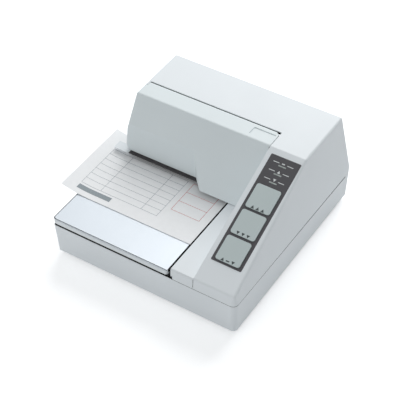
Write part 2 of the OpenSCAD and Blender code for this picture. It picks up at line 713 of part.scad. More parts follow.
module upper_guide_plate() color(zinc) difference() {
    slot_y = print_y + cassette_t / 2 + 0.6;
    block([plate_x0, guide_front, guide_z0], [plate_x1, frame_y, guide_z]);
    block([cassette_x0 - 0.8, print_y - cassette_t / 2 - 0.6, 0], [cassette_x1 + 0.8, slot_y, big]);
    for (i = [0, 1]) block([min(roller_x[i] - roller_l / 2 - 1, arm_x[i] - 0.8), slot_y + 2.5, 0],
        [max(roller_x[i] + roller_l / 2 + 1, arm_x[i] + arm_t + 0.8), pivot_c[0] - 1, big]);
    block([arm_x[0], pinch_c[0] - pinch_shaft_r - 1.4, 0], [arm_x[1], pinch_c[0] + pinch_shaft_r + 0.8, big]);
}
module guide_shaft() color(steel) rod_x(plate_x0 - 2, plate_x1 + 1, shaft_c, shaft_r);
module carriage_rail() color(zinc) union() {
    y = shaft_c[0] + 7;
    block([plate_x0 + steel_t, y - 10, rail_z], [plate_x1 - steel_t, y, rail_z + 1.2]);
    block([plate_x0 + steel_t, y - skin, rail_z], [motor_c[0] - 22, frame_y, rail_z + 1.2]);
    block([plate_x0 + steel_t, frame_y - 1.2, rail_z + 1.2], [idler_x + 38, frame_y, rail_z + 9]);
}
module carriage() color(black_plastic) translate([home_x, 0, 0]) difference() {
    y = shaft_c[0];
    top = shaft_c[1] + 7;
    run = motor_c[1] - pulley_r;
    cheek_z = [head_z1 - 10.5, head_z1 - 4.5];
    union() {
        block([-carriage_w / 2, head_back, top - 13.5], [carriage_w / 2, y + 6, top]);
        block([-6, y - 2, top - skin], [6, y + 4, rail_z - run_gap]);
        block([-5, y + 6 - skin, run - 2.6], [5, belt_y + belt_w + 0.8, run + 2.6]);
        for (x = [-carriage_w / 2 - 1, head_s / 2])
            block([x, head_back - 12, cheek_z[0]],
                [x + (carriage_w - head_s) / 2 + 1, head_back + skin, cheek_z[1]]);
    }
    rod_x(-big, big, shaft_c, shaft_r + fit);
    block([-6, belt_y - 0.4, run - belt_t / 2 - run_gap], [6, big, run + belt_t / 2 + run_gap]);
}
module print_head() color(steel) translate([home_x, 0, 0]) {
    fin = (head_z1 - head_z0 - 4) / head_fins;
    block([-head_s / 2 + 2, head_front + 2, head_z0], [head_s / 2 - 2, head_back, head_z1]);
    for (i = [0 : head_fins - 1]) along_z(head_z0 + 4 + i * fin, head_z0 + 4 + (i + 0.45) * fin)
        rounded([-head_s / 2, head_front], [head_s / 2, head_back], 1.5);
    along_z(head_z0 - 3, head_z0 + 0.5) rounded([-7, head_front + 4], [7, head_back - 1.5], 1.5);
    along_y(print_y - nose_d / 2, print_y + nose_d / 2)
        polygon([[-6, head_z0], [-nose_w / 2, nose_z + 3], [-nose_w / 2 + 1, nose_z],
        [nose_w / 2 - 1, nose_z], [nose_w / 2, nose_z + 3], [6, head_z0]]);
}

// Flanged belt pulley about a Y axis
module pulley(c) translate([c[0], belt_y, c[1]]) rotate([-90, 0, 0]) {
    cylinder(r = pulley_r - belt_t / 2, h = belt_w);
    for (z = [-0.8, belt_w]) translate([0, 0, z]) cylinder(r = pulley_r + 0.8, h = 0.8);
}
module drive_pulley() color(steel) {
    pulley(motor_c);
    rod_y(belt_y + belt_w, frame_y + steel_t + 2, motor_c, 1.5);
    translate([motor_c[0], gear_y + gear_w, motor_c[1]]) rotate([90, 0, 0]) linear_extrude(gear_w)
        gear_outline(ribbon_pinion_teeth);
}
module idler_pulley() color(black_plastic) difference() {
    pulley([idler_x, motor_c[1]]);
    rod_y(0, big, [idler_x, motor_c[1]], 1.5 + fit);
}
module idler_pin() color(steel) {
    rod_y(belt_y - 2, frame_y + steel_t, [idler_x, motor_c[1]], 1.5);
    rod_y(belt_y + belt_w + 1.1, frame_y, [idler_x, motor_c[1]], 3);
}
module carriage_belt() color(rubber) along_y(belt_y + 0.2, belt_y + belt_w - 0.2) difference() {
    belt_outline(pulley_r + belt_t / 2);
    belt_outline(pulley_r - belt_t / 2 + 0.03);
}
module belt_outline(r) {
    for (x = [idler_x, motor_c[0]]) translate([x, motor_c[1]]) circle(r);
    translate([idler_x, motor_c[1] - r]) square([motor_c[0] - idler_x, 2 * r]);
}
module carriage_motor() color(steel) difference() {
    union() {
        rod_y(frame_y + steel_t, frame_y + steel_t + motor_l, motor_c, motor_r);
        rod_y(frame_y + steel_t + motor_l - skin, frame_y + steel_t + motor_l + 0.8, motor_c, motor_r / 3);
    }
    rod_y(0, frame_y + steel_t + 4, motor_c, 2);
}

module ribbon_cassette() color(black_plastic) difference() {
    y0 = print_y - cassette_t / 2;
    y1 = print_y + cassette_t / 2;
    union() {
        along_y(y0, y1) polygon([[cassette_x0, ribbon_z], [cassette_x0 + arm_w, ribbon_z],
            [cassette_x0 + arm_w, cassette_z0],
            [cassette_x1 - arm_w, cassette_z0], [cassette_x1 - arm_w, ribbon_z], [cassette_x1, ribbon_z],
            [cassette_x1, cassette_z1 - 4], [cassette_x1 - 4, cassette_z1], [cassette_x0 + 4, cassette_z1],
                [cassette_x0, cassette_z1 - 4]]);
        for (x = [cassette_x0 + 14, cassette_x1 - 36])
            block([x, print_y - 2, cassette_z1 - skin], [x + 16, print_y + 2, cassette_z1 + 1.4]);
    }
    along_y(y0 - 1, y0 + 0.7)
        rounded([cassette_x0 + 6, cassette_z0 + 4], [cassette_x1 - 26, cassette_z1 - 4], 2);
    rod_y(0, big, spindle, spindle_r + 0.3);
}
module ink_ribbon() color("#17171a")
    block([cassette_x0 + arm_w, print_y - ribbon_w / 2, ribbon_z],
        [cassette_x1 - arm_w, print_y + ribbon_w / 2, ribbon_z + ribbon_t]);
module ribbon_knob() color("#d8d4c8") {
    rod_y(knob_y + 1.4, print_y - cassette_t / 2 - run_gap, spindle, knob_r);
    translate([spindle[0] - knob_r * 0.8, knob_y, spindle[1] - 0.8]) cube([knob_r * 1.6, 1.4 + skin, 1.6]);
    rod_y(print_y - cassette_t / 2 - run_gap - skin, gear_y, spindle, spindle_r);
}
module ribbon_gear() color("#d8d4c8") difference() {
    union() {
        translate([spindle[0], gear_y + gear_w, spindle[1]]) rotate([90, 0, 0]) linear_extrude(gear_w)
            rotate(mesh_turn(motor_c, spindle, ribbon_pinion_teeth, ribbon_gear_teeth))
                gear_outline(ribbon_gear_teeth);
        rod_y(gear_y, frame_y + steel_t - 0.4, spindle, spindle_r);
    }
    for (i = [0 : 4]) translate([spindle[0], 0, spindle[1]]) rotate([0, i * 72, 0])
        rod_y(0, big, [gear_m * ribbon_gear_teeth / 2 - 4.8, 0], 1.8);
}

module platen() color(rubber)
    block([cassette_x0 + 8.3, print_y - 3.7, beam_z[1]], [table_x - 4.3, print_y + 3.7, table_z - 0.05]);
module platen_beam() color(zinc) difference() {
    block([cassette_x0 + 8.3, print_y - 5, beam_z[0]], [table_x - 4.3, print_y + 5, beam_z[1]]);
    block([cassette_x0 + 18, print_y - 3.4, 0], [table_x - 14, print_y + 3.4, beam_z[1] - steel_t]);
}
module feed_shaft() color(steel) rod_x(plate_x0 - 1, feed_plate_x + 7, feed_c, feed_shaft_r);
module feed_rollers() color(rubber) for (x = roller_x) difference() {
    rod_x(x - roller_l / 2, x + roller_l / 2, feed_c, feed_r);
    rod_x(-big, big, feed_c, feed_shaft_r + skin);
}
module feed_gear() color("#d8d4c8") difference() {
    translate([gear_x, feed_c[0], feed_c[1]]) rotate([90, 0, 90]) {
        linear_extrude(3.6) gear_outline(feed_teeth);
        translate([0, 0, 3.6 - skin]) cylinder(r = 5, h = 1.2);
    }
    rod_x(0, big, feed_c, feed_shaft_r + skin);
    for (i = [0 : 5]) translate([0, feed_c[0], feed_c[1]]) rotate([i * 60, 0, 0])
        rod_x(0, big, [gear_m * feed_teeth / 2 - 7.9, 0], 3);
}
module feed_plate() color(zinc) difference() {
    y = feed_c[0];
    z = feed_c[1];
    along_x(feed_plate_x, feed_plate_x + steel_t)
        polygon([[y - 18, wall], [y + 40, wall], [y + 40, z + 3], [y + 24, z + 11], [y + 6, z + 15],
            [y - 16, z + 15], [y - 18, z + 7]]);
    rod_x(0, big, feed_c, feed_shaft_r + fit);
    rod_x(0, big, feed_motor_c, 3);
}
module feed_motor() color(steel) difference() {
    union() {
        rod_x(feed_plate_x - feed_motor_l, feed_plate_x, feed_motor_c, feed_motor_r);
        rod_x(feed_plate_x - feed_motor_l - 1, feed_plate_x - feed_motor_l + skin, feed_motor_c, 5);
    }
    rod_x(feed_plate_x - 6, big, feed_motor_c, 2.4);
}
module feed_pinion() color("#b99a56") union() {
    translate([gear_x + 0.2, feed_motor_c[0], feed_motor_c[1]]) rotate([90, 0, 90]) linear_extrude(3.4)
        rotate(mesh_turn(feed_c, feed_motor_c, feed_teeth, feed_pinion_teeth))
            gear_outline(feed_pinion_teeth);
    rod_x(feed_plate_x - 5, gear_x + 0.2 + skin, feed_motor_c, 2);
}

module arm_outline() {
    d = pivot_c - pinch_c;
    translate(pinch_c) circle(3);
    translate(pivot_c) circle(3.4);
    translate(pinch_c) rotate(atan2(d[1], d[0])) translate([0, -2.2]) square([norm(d), 4.4]);
}
module pinch_arm() color(zinc) difference() {
    union() {
        for (x = arm_x) along_x(x, x + arm_t) arm_outline();
        block([arm_x[0] + arm_t - skin, pivot_c[0] - 6, pivot_c[1] - 2.4],
            [arm_x[1] + skin, pivot_c[0] - 3.4, pivot_c[1] - 0.8]);
        block([tab_x, pivot_c[0] - 0.8, pivot_c[1] + 2.6], [tab_x + tab_w, pivot_c[0] + 0.8, rod_z + 1.5]);
    }
    rod_x(-big, big, pivot_c, 2 + skin);
    rod_x(-big, big, pinch_c, pinch_shaft_r + fit);
    rod_y(0, big, [arm_x[0] + arm_t / 2, rod_z], rod_r + run_gap);
    block([arm_x[0] + arm_t / 2 - rod_r - run_gap, 0, rod_z],
        [arm_x[0] + arm_t / 2 + rod_r + run_gap, big, case_h]);
}
module pinch_pivot() color(steel) rod_x(plate_x0 - 1, plate_x1 + 1, pivot_c, 2);
module pinch_shaft() color(steel) rod_x(arm_x[0] - 0.6, arm_x[1] + arm_t + 0.6, pinch_c, pinch_shaft_r);
module pinch_rollers() color(rubber) for (x = roller_x) difference() {
    rod_x(x - roller_l / 2, x + roller_l / 2, pinch_c, pinch_r);
    rod_x(-big, big, pinch_c, pinch_shaft_r + skin);
}
module release_solenoid() color("#8f8a3a") difference() {
    c = [arm_x[0] + arm_t / 2, rod_z];
    block([c[0] - 7, frame_y + steel_t, c[1] - 8], [c[0] + 7, frame_y + steel_t + 18, c[1] + 8]);
    rod_y(0, frame_y + steel_t + 14, c, 2.3);
}
module solenoid_plunger() color(steel) {
    c = [arm_x[0] + arm_t / 2, rod_z];
    rod_y(pivot_c[0] - 2.2, pivot_c[0] - 1.1, c, rod_r + 0.6);
    rod_y(pivot_c[0] - 1.1 - skin, frame_y + steel_t + 1, c, rod_r);
    rod_y(frame_y + steel_t + 1 - skin, frame_y + steel_t + 12, c, 2.3 - fit);
}
module form_stopper() color(zinc) union() {
    block([stop_x[0], stop_y, beam_z[1] - 4], [stop_x[1] + stop_w, stop_y + stop_t, beam_z[1]]);
    for (x = stop_x) block([x, stop_y, beam_z[1] - skin], [x + stop_w, stop_y + stop_t, table_z - 0.2]);
}

module main_board() color(board_green) union() {
    along_z(board_h, board_h + board_t) rounded([board[0], board[1]], [board[2], board[3]], 1);
    // Chips, a header and three capacitors: offsets from the board's left edge and its nearer end
    x = board[0];
    y = [board[1], board[3]];
    for (p = [[x + 14, y[0] + 22, 22, 9, 3], [x + 44, y[0] + 24, 14, 14, 2], [x + 68, y[1] - 40.6, 18, 8, 9],
            [x + 12, y[1] - 40.6, 12, 12, 2]])
        translate([p[0], p[1], board_h + board_t - skin]) cube([p[2], p[3], p[4]]);
    for (p = [[x + 38, y[1] - 32.6], [x + 52, y[1] - 32.6], [x + 38, y[1] - 16.6]])
        rod_z(board_h, board_h + 12, p, 4);
}
module interface_board() color(board_green) union() {
    along_z(board_h, board_h + board_t)
        rounded([rear_board[0], rear_board[1]], [rear_board[2], rear_board[3]], 1);
    translate([port_x + 22, rear_board[1] + 4, board_h + board_t - skin]) cube([10, 12, 3]);
}
module port_shell(grow)
    polygon([[port_x - 19 - grow, port_z + 4 + grow], [port_x + 19 + grow, port_z + 4 + grow],
    [port_x + 17.4 + grow, port_z - 4 - grow], [port_x - 17.4 - grow, port_z - 4 - grow]]);
module interface_connector() color(steel) difference() {
    union() {
        block([port_x - port_w / 2, rear_y - 6, port_z - port_h / 2],
            [port_x + port_w / 2, rear_y - 5, port_z + port_h / 2]);
        along_y(rear_y - 14, rear_y - 0.8) port_shell(0);
        for (s = [-1, 1]) rod_y(rear_y - 6, rear_y - 1.2, [port_x + s * port_posts / 2, port_z], 2.4);
        block([port_x - 18, rear_y - 22, board_h + board_t], [port_x + 18, rear_y - 14 + skin, port_z + 4]);
    }
    along_y(rear_y - 6.4, rear_y) port_shell(-0.7);
    for (s = [-1, 1]) rod_y(rear_y - 5, rear_y, [port_x + s * port_posts / 2, port_z], 1.4);
}
module power_inlet() color(black_plastic) difference() {
    union() {
        rod_y(rear_y - 16, rear_y - 1.6, [inlet_x, port_z], inlet_r);
        block([inlet_x - inlet_r, rear_y - 16, wall], [inlet_x + inlet_r, rear_y - 8, port_z]);
    }
    rod_y(rear_y - 9, rear_y, [inlet_x, port_z], inlet_r - 1.6);
}
module switch_housing() color(black_plastic) difference() {
    union() {
        block([switch_x - rocker_w / 2 - 1.8, rear_y - 12, port_z - rocker_h / 2 - 1.4],
            [switch_x + rocker_w / 2 + 1.8, rear_y - 1.4, port_z + rocker_h / 2 + 1.4]);
        block([switch_x - rocker_w / 2 - rocker_rim - 0.4, rear_seat, port_z - rocker_h / 2 - rocker_rim],
            [switch_x + rocker_w / 2 + rocker_rim + 0.4, rear_y, port_z + rocker_h / 2 + rocker_rim]);
        block([switch_x - rocker_w / 2 - 1.8, rear_y - 1.5, port_z - rocker_h / 2 - 1.4],
            [switch_x + rocker_w / 2 + 1.8, rear_y, port_z + rocker_h / 2 + 1.4]);
    }
    block([switch_x - rocker_w / 2 - run_gap, rear_y - 10, port_z - rocker_h / 2 - run_gap],
        [switch_x + rocker_w / 2 + run_gap, rear_y + 1, port_z + rocker_h / 2 + run_gap]);
    rod_z(0, port_z + rocker_h / 2 + 1, [switch_x, rear_y - 3.4], 1 + fit);
}
module power_rocker() color("#1f1f21") intersection() {
    union() {
        translate([switch_x, rear_y - 3.4, port_z - rocker_h / 2]) rotate(-rocker_a) linear_extrude(rocker_h)
            polygon([for (s = [-1, 0, 1]) [s * rocker_w * 0.49,
                s == 0 ? 1.6 : 1.6 + rocker_w * 0.49 * tan(rocker_a)], [3, -4], [-3, -4]]);
        rod_z(port_z - rocker_h / 2 - 1, port_z + rocker_h / 2 + 0.8, [switch_x, rear_y - 3.4], 1);
    }
    block([switch_x - rocker_w / 2, 0, 0], [switch_x + rocker_w / 2, big, case_h]);
}
module ground_screw() color("#b99a56") {
    rod_y(rear_y - 6, rear_seat + skin, [ground_x, port_z], 1.5);
    rod_y(rear_seat, rear_seat + 2, [ground_x, port_z], 2.8);
}
module switch_bank_cover() color(white_shell) difference() {
    along_z(0, lip_t) rounded([bank[0] + 0.2, bank[1] + 0.2],
        [bank[0] + bank[2] - 0.2, bank[1] + bank[3] - 0.2], 1.3);
    rod_z(-1, 2, [bank[0] + bank[2] - 4, bank[1] + bank[3] / 2], 0.9);
}
module case_screws() color(steel) for (x = [-boss_x, boss_x], y = [-boss_y, boss_y]) {
    rod_z(1, 3, [x, y], 2 * screw_r);
    rod_z(3 - skin, boss_z + 9, [x, y], screw_r);
}
module rubber_feet() color(rubber) for (x = [-foot_x, foot_x], y = [-foot_y, foot_y])
    translate([x, y, -foot_h]) rotate_extrude()
        polygon([[0, 0], [foot_r - 0.8, 0], [foot_r, foot_h], [0, foot_h]]);

module slip_form() color("#f4f4f2") {
    x1 = table_x - 0.2;
    bend = x1 - slip_w + curl_w;
    r = (curl_w * curl_w + curl_up * curl_up) / (2 * curl_up);
    sweep = asin(curl_w / r);
    y1 = stop_y - 1;
    difference() {
        along_y(y1 - slip_l, y1) polygon([
            [x1, slip_z],
            for (i = [0 : 12]) [bend - r * sin(sweep * i / 12), slip_z + r - r * cos(sweep * i / 12)],
            for (i = [12 : -1 : 0])
                [bend - (r - slip_t) * sin(sweep * i / 12), slip_z + r - (r - slip_t) * cos(sweep * i / 12)],
            [x1, slip_z + slip_t]
        ]);
        block([-big, y1 - cut_l, 0], [x1 - slip_w + cut_w, big, big]);
    }
}

lower_case();
upper_case();
slip_table();
table_plate();
paper_guide();
ribbon_cover();
hinge_pins();
control_panel();
indicator_lenses();
feed_button();
reverse_button();
release_button();
panel_board();
left_side_plate();
right_side_plate();
rear_frame_plate();
upper_guide_plate();
guide_shaft();
carriage_rail();
carriage();
print_head();
carriage_motor();
drive_pulley();
idler_pulley();
idler_pin();
carriage_belt();
ribbon_cassette();
ink_ribbon();
ribbon_knob();
ribbon_gear();
platen();
platen_beam();
feed_shaft();
feed_rollers();
feed_gear();
feed_plate();
feed_motor();
feed_pinion();
pinch_arm();
pinch_pivot();
pinch_shaft();
pinch_rollers();
release_solenoid();
solenoid_plunger();
form_stopper();
main_board();
interface_board();
interface_connector();
power_inlet();
switch_housing();
power_rocker();
ground_screw();
switch_bank_cover();
case_screws();
rubber_feet();
slip_form();
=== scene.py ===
"""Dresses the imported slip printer: finishes, small pieces, a plain studio and the camera."""

import math

import bmesh
import bpy
from bpy.props import FloatProperty, FloatVectorProperty, IntProperty, PointerProperty
from mathutils import Matrix, Vector


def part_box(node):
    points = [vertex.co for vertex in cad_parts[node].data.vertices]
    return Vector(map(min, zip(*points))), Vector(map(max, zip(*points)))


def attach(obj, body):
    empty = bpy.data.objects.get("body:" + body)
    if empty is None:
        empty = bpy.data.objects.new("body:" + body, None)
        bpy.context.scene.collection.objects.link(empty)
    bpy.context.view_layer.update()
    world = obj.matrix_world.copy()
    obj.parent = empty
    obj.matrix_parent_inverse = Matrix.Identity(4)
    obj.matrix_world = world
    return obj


bl_info = {
    "name": "Slip Printer Dressing",
    "version": (1, 0, 0),
    "blender": (4, 5, 0),
    "location": "View3D > Sidebar > Slip Printer",
    "description": "Finishes and small pieces for a desktop slip printer",
    "category": "Object",
}

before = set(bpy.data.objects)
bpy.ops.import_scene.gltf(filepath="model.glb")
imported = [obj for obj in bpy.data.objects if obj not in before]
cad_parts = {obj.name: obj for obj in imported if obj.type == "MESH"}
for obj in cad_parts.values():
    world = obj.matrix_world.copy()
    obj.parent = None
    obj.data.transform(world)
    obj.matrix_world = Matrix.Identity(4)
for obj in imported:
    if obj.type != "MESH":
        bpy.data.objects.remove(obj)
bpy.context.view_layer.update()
MM = 0.001
FLOOR_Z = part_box("rubber_feet")[0][2]
# The case, in millimetres: half its width, its front, its depth, its top and its upright corner's radius
CASE_SIDE, CASE_FRONT, CASE_DEPTH, CASE_TOP, CORNER = 90, -96, 192, 94.0, 5
# Height of the parting line at the front, and how far it falls to the rear
PARTING_FRONT, PARTING_FALL = 33.0, 6.0
# The tower's slope starts at the ridge and falls to its front edge
RIDGE_Y, SLOPE_END_Y, SLOPE_END_Z = 24.6, -95.0, 43.8
SLOPE = math.atan2(CASE_TOP - SLOPE_END_Z, RIDGE_Y - SLOPE_END_Y)
RIDGE = Matrix.Translation((0.0, RIDGE_Y, CASE_TOP)) @ Matrix.Rotation(SLOPE, 4, "X")
# Down the slope from the ridge: the keys' lower ends, and the indicators
KEY_ENDS = (56.6, 81.6, 106.6)
LAMP_ROWS = (14.6, 22.6, 30.6)
# Out of the slope: the printing on the panel, and on the keys
PANEL_TOP, KEY_TOP = 0.215, 1.02
# Interface socket: height of its middle, its contacts' pitch, and each row's name, count and height
# from there
PORT_Z, PIN_PITCH = 17.0, 2.76
PIN_ROWS = (("upper_contacts", 13, 1.2), ("lower_contacts", 12, -1.64))
# The middle of the belt's teeth lies this far inside the belt's outline
TOOTH_INSET = 1.35
# The studio, in metres
LAMP_SIZE, REAR_PLACE, FRONT_PLACE = 1.4, (-0.2, 1.26, 1.16), (-0.8, -1.5, 0.55)
FLOOR_HALF, FLOOR_LIFT = 6.0, 0.45
SKY_COLOUR = (0.96, 0.985, 1.0, 1.0)


def linear(code):
    """Linear RGBA of an sRGB hex colour."""
    parts = [int(code[i:i + 2], 16) / 255 for i in (0, 2, 4)]
    return [c / 12.92 if c <= 0.04045 else ((c + 0.055) / 1.055) ** 2.4 for c in parts] + [1.0]


def colour(name, code, text):
    return FloatVectorProperty(name=name, description=text, default=linear(code)[:3],
                               subtype="COLOR", size=3, min=0, max=1)


def length(name, default, text, low=0.0, high=10.0):
    return FloatProperty(name=name, description=text, default=default, min=low, max=high,
                         subtype="DISTANCE", unit="LENGTH", precision=5)


class PrinterColours(bpy.types.PropertyGroup):
    """Colours of the printer's finishes"""
    shell: colour("Shell", "E4E9EC", "Moulded shell of the case")
    cover: colour("Cover", "DEE6E8", "Hinged ribbon cover")
    table: colour("Table", "CCD2D8", "Stainless sheet let into the table")
    key: colour("Keys", "BFCACA", "Key caps on the control panel")
    panel: colour("Panel", "333135", "Film of the control panel")
    lamp: colour("Lamps", "B9C2BE", "Unlit light pipes of the indicators")
    zinc: colour("Zinc", "B4B7B3", "Passivated zinc on the pressed sheet")
    black: colour("Black plastic", "1E1E20", "Glass filled black mouldings")
    acetal: colour("Acetal", "DAD6C8", "Natural acetal gears")
    rubber: colour("Rubber", "202022", "Rollers, platen, belt and feet")
    resist: colour("Solder resist", "1F5A3A", "Green face of the circuit boards")
    paper: colour("Paper", "FBFCFD", "Top ply of the form")
    form_ink: colour("Form ink", "9AA3A8", "Preprinted lines of the form")
    mark: colour("Mark", "C23A33", "Coloured lines of the form")
    key_ink: colour("Key ink", "4A5050", "Printed marks on the keys")
    panel_ink: colour("Panel ink", "D8DCDC", "Printed marks beside the indicators")
    # Painted shade: a near black colour that stands for the shadow inside the case's open joints
    dark_joint_shade: colour("Foam", "0C0C0D", "Dark fill of the open joints")
    # Painted shade: the guide lip is dark for the cover's shadow over it, while its end out of the shadow is
    # pale
    guide: colour("Guide lip", "3C393B", "Ribbed lip of the upper form guide")


class PrinterSizes(bpy.types.PropertyGroup):
    """Sizes of the small pieces"""
    grain: length("Mould grain", 0.0006, "Width of one cell of the moulded texture", 0.0002, 0.003)
    tooth_count: IntProperty(name="Belt teeth", default=118, min=40, max=240,
                             description="Number of teeth inside the carriage belt")
    ply: length("Print height", 0.00005, "Height of the ink strips above the form", 0.00001, 0.0002)
    form: length("Form thickness", 0.0003, "Thickness of the form's plies together", 0.0001, 0.001)
    curl_width: length("Curl width", 0.028, "Width of the form's strip that curls up", 0.005, 0.05)
    curl_height: length("Curl height", 0.004, "How far the form's left edge curls up", 0.0005, 0.01)
    symbol: length("Symbol width", 0.0031, "Width of one printed mark on a key", 0.001, 0.005)
    rib_pitch: length("Rib pitch", 0.0009, "Distance from one rib of the guide's lip to the next",
                      0.0005, 0.003)
    line: length("Line width", 0.0003, "Width of a printed line on the form", 0.0001, 0.001)
    pin: length("Contact width", 0.0009, "Width of a contact in the interface socket", 0.0004, 0.002)


class StudioSettings(bpy.types.PropertyGroup):
    """Camera and light of the plain studio"""
    azimuth: FloatProperty(name="Azimuth", description="Camera angle from the front to the right",
                           default=math.radians(34.146), subtype="ANGLE", unit="ROTATION")
    elevation: FloatProperty(name="Elevation", description="Camera angle above the floor",
                             default=math.radians(44.353), subtype="ANGLE", unit="ROTATION")
    roll: FloatProperty(name="Roll", description="Camera roll",
                        default=math.radians(-2.012), subtype="ANGLE", unit="ROTATION")
    distance: length("Distance", 1.07521, "Camera distance from its aim", 0.1, 5)
    aim: FloatVectorProperty(name="Aim", description="Point in the middle of the picture",
                             default=(0.00532, -0.01512, 0.042), subtype="TRANSLATION", unit="LENGTH")
    lens: FloatProperty(name="Lens", description="Focal length in millimetres on a 36 mm sensor",
                        default=114.37, min=10, max=300)
    sky: FloatProperty(name="Sky", description="Strength of the even light from the world",
                       default=0.42, min=0, max=3)
    rear_light: FloatProperty(name="Rear light", description="Power of the large soft light behind",
                              default=21.5, min=0, max=200, subtype="POWER", unit="POWER")
    front_light: FloatProperty(name="Front light", default=5.8,
                               description="Power of the weak soft light in front on the left",
                               min=0, max=200, subtype="POWER", unit="POWER")


# Materials ------------------------------------------------------------------------------------

def add(tree, kind, settings, inputs):
    """Adds a node, sets its settings, and sets or links its inputs."""
    made = tree.nodes.new(kind)
    for key, value in settings.items():
        setattr(made, key, value)
    for key, value in inputs.items():
        if isinstance(value, bpy.types.NodeSocket):
            tree.links.new(value, made.inputs[key])
        else:
            made.inputs[key].default_value = value
    return made


def start(name, constants):
    """A new material, its tree, its shader and the object coordinates."""
    made = bpy.data.materials.new(name)
    made.use_nodes = True
    tree = made.node_tree
    shader = tree.nodes["Principled BSDF"]
    for key, value in constants.items():
        shader.inputs[key].default_value = value
    place = add(tree, "ShaderNodeTexCoord", {}, {}).outputs["Object"]
    return made, tree, shader, place


def shades(tree, place, base, spread, scale, shader):
    """Base colour that drifts by a small share over a slow noise, as a moulded batch does."""
    drift = add(tree, "ShaderNodeTexNoise", {}, {"Vector": place, "Scale": scale, "Detail": 3.0})
    ramp = add(tree, "ShaderNodeValToRGB", {}, {"Fac": drift.outputs["Fac"]})
    for stop, share, spot in zip(ramp.color_ramp.elements, (1 - spread, 1 + spread), (0.35, 0.65)):
        stop.position = spot
        stop.color = [min(1.0, c * share) for c in base[:3]] + [1.0]
    tree.links.new(ramp.outputs["Color"], shader.inputs["Base Color"])
    return ramp


def roughen(tree, source, low, high, shader):
    """Roughness that runs from low to high with a pattern."""
    span = add(tree, "ShaderNodeMapRange", {}, {"Value": source, "To Min": low, "To Max": high})
    tree.links.new(span.outputs["Result"], shader.inputs["Roughness"])


def raise_by(tree, height, distance, strength, shader):
    """Bump from a pattern, with its real height in metres."""
    bump = add(tree, "ShaderNodeBump", {}, {"Height": height, "Distance": distance, "Strength": strength})
    tree.links.new(bump.outputs["Normal"], shader.inputs["Normal"])


def spark_textured_abs(name, base, grain, rough=0.48, depth=0.00003):
    """ABS moulded in a spark eroded tool: a fine pebbled skin that scatters a soft broad sheen."""
    made, tree, shader, place = start(name, {"IOR": 1.53, "Specular IOR Level": 0.42})
    shades(tree, place, base, 0.012, 16.0, shader)
    pebble = add(tree, "ShaderNodeTexVoronoi", {"feature": "SMOOTH_F1"},
                 {"Vector": place, "Scale": 1 / grain, "Smoothness": 0.7})
    wear = add(tree, "ShaderNodeTexNoise", {}, {"Vector": place, "Scale": 45.0, "Detail": 5.0})
    roughen(tree, wear.outputs["Fac"], rough - 0.06, rough + 0.07, shader)
    raise_by(tree, pebble.outputs["Distance"], depth, 0.5, shader)
    return made


def brushed_steel(name, base, rough=0.42):
    """Stainless sheet, brushed from front to rear: fine parallel scratches that blur what it mirrors."""
    made, tree, shader, place = start(name, {"Metallic": 0.4, "Specular IOR Level": 0.5})
    shades(tree, place, base, 0.01, 12.0, shader)
    along = add(tree, "ShaderNodeMapping", {}, {"Vector": place, "Scale": (1.0, 0.02, 1.0)})
    scratch = add(tree, "ShaderNodeTexNoise", {},
        {"Vector": along.outputs["Vector"], "Scale": 1500.0, "Detail": 4.0})
    roughen(tree, scratch.outputs["Fac"], rough - 0.08, rough + 0.1, shader)
    raise_by(tree, scratch.outputs["Fac"], 0.000004, 0.4, shader)
    return made


def printed_film(name, base):
    """Polycarbonate film, matt on top and printed underneath: very fine velvet grain."""
    made, tree, shader, place = start(name, {"IOR": 1.58, "Specular IOR Level": 0.5})
    shades(tree, place, base, 0.05, 60.0, shader)
    velvet = add(tree, "ShaderNodeTexNoise", {}, {"Vector": place, "Scale": 1800.0, "Detail": 3.0})
    roughen(tree, velvet.outputs["Fac"], 0.42, 0.58, shader)
    raise_by(tree, velvet.outputs["Fac"], 0.00001, 0.4, shader)
    return made


def light_pipe(name, base):
    """Clear polycarbonate light pipe: glossy, a little milky from its frosted root."""
    made, tree, shader, place = start(name, {"IOR": 1.58, "Transmission Weight": 0.35, "Coat Weight": 0.5,
                                             "Coat Roughness": 0.05})
    shades(tree, place, base, 0.06, 300.0, shader)
    milk = add(tree, "ShaderNodeTexNoise", {}, {"Vector": place, "Scale": 700.0, "Detail": 2.0})
    roughen(tree, milk.outputs["Fac"], 0.12, 0.28, shader)
    return made


def zinc_plate(name, base):
    """Pressed sheet steel, zinc plated and passivated: soft crystalline patches and rolling lines."""
    made, tree, shader, place = start(name, {"Metallic": 1.0})
    patch = add(tree, "ShaderNodeTexVoronoi", {}, {"Vector": place, "Scale": 260.0, "Randomness": 1.0})
    tone = add(tree, "ShaderNodeSeparateColor", {}, {"Color": patch.outputs["Color"]})
    ramp = add(tree, "ShaderNodeValToRGB", {}, {"Fac": tone.outputs["Red"]})
    for stop, share in zip(ramp.color_ramp.elements, (0.88, 1.08)):
        stop.color = [min(1.0, c * share) for c in base[:3]] + [1.0]
    tree.links.new(ramp.outputs["Color"], shader.inputs["Base Color"])
    along = add(tree, "ShaderNodeMapping", {}, {"Vector": place, "Scale": (0.05, 1.0, 1.0)})
    roll = add(tree, "ShaderNodeTexNoise", {},
        {"Vector": along.outputs["Vector"], "Scale": 900.0, "Detail": 3.0})
    roughen(tree, roll.outputs["Fac"], 0.32, 0.5, shader)
    raise_by(tree, roll.outputs["Fac"], 0.00001, 0.3, shader)
    return made


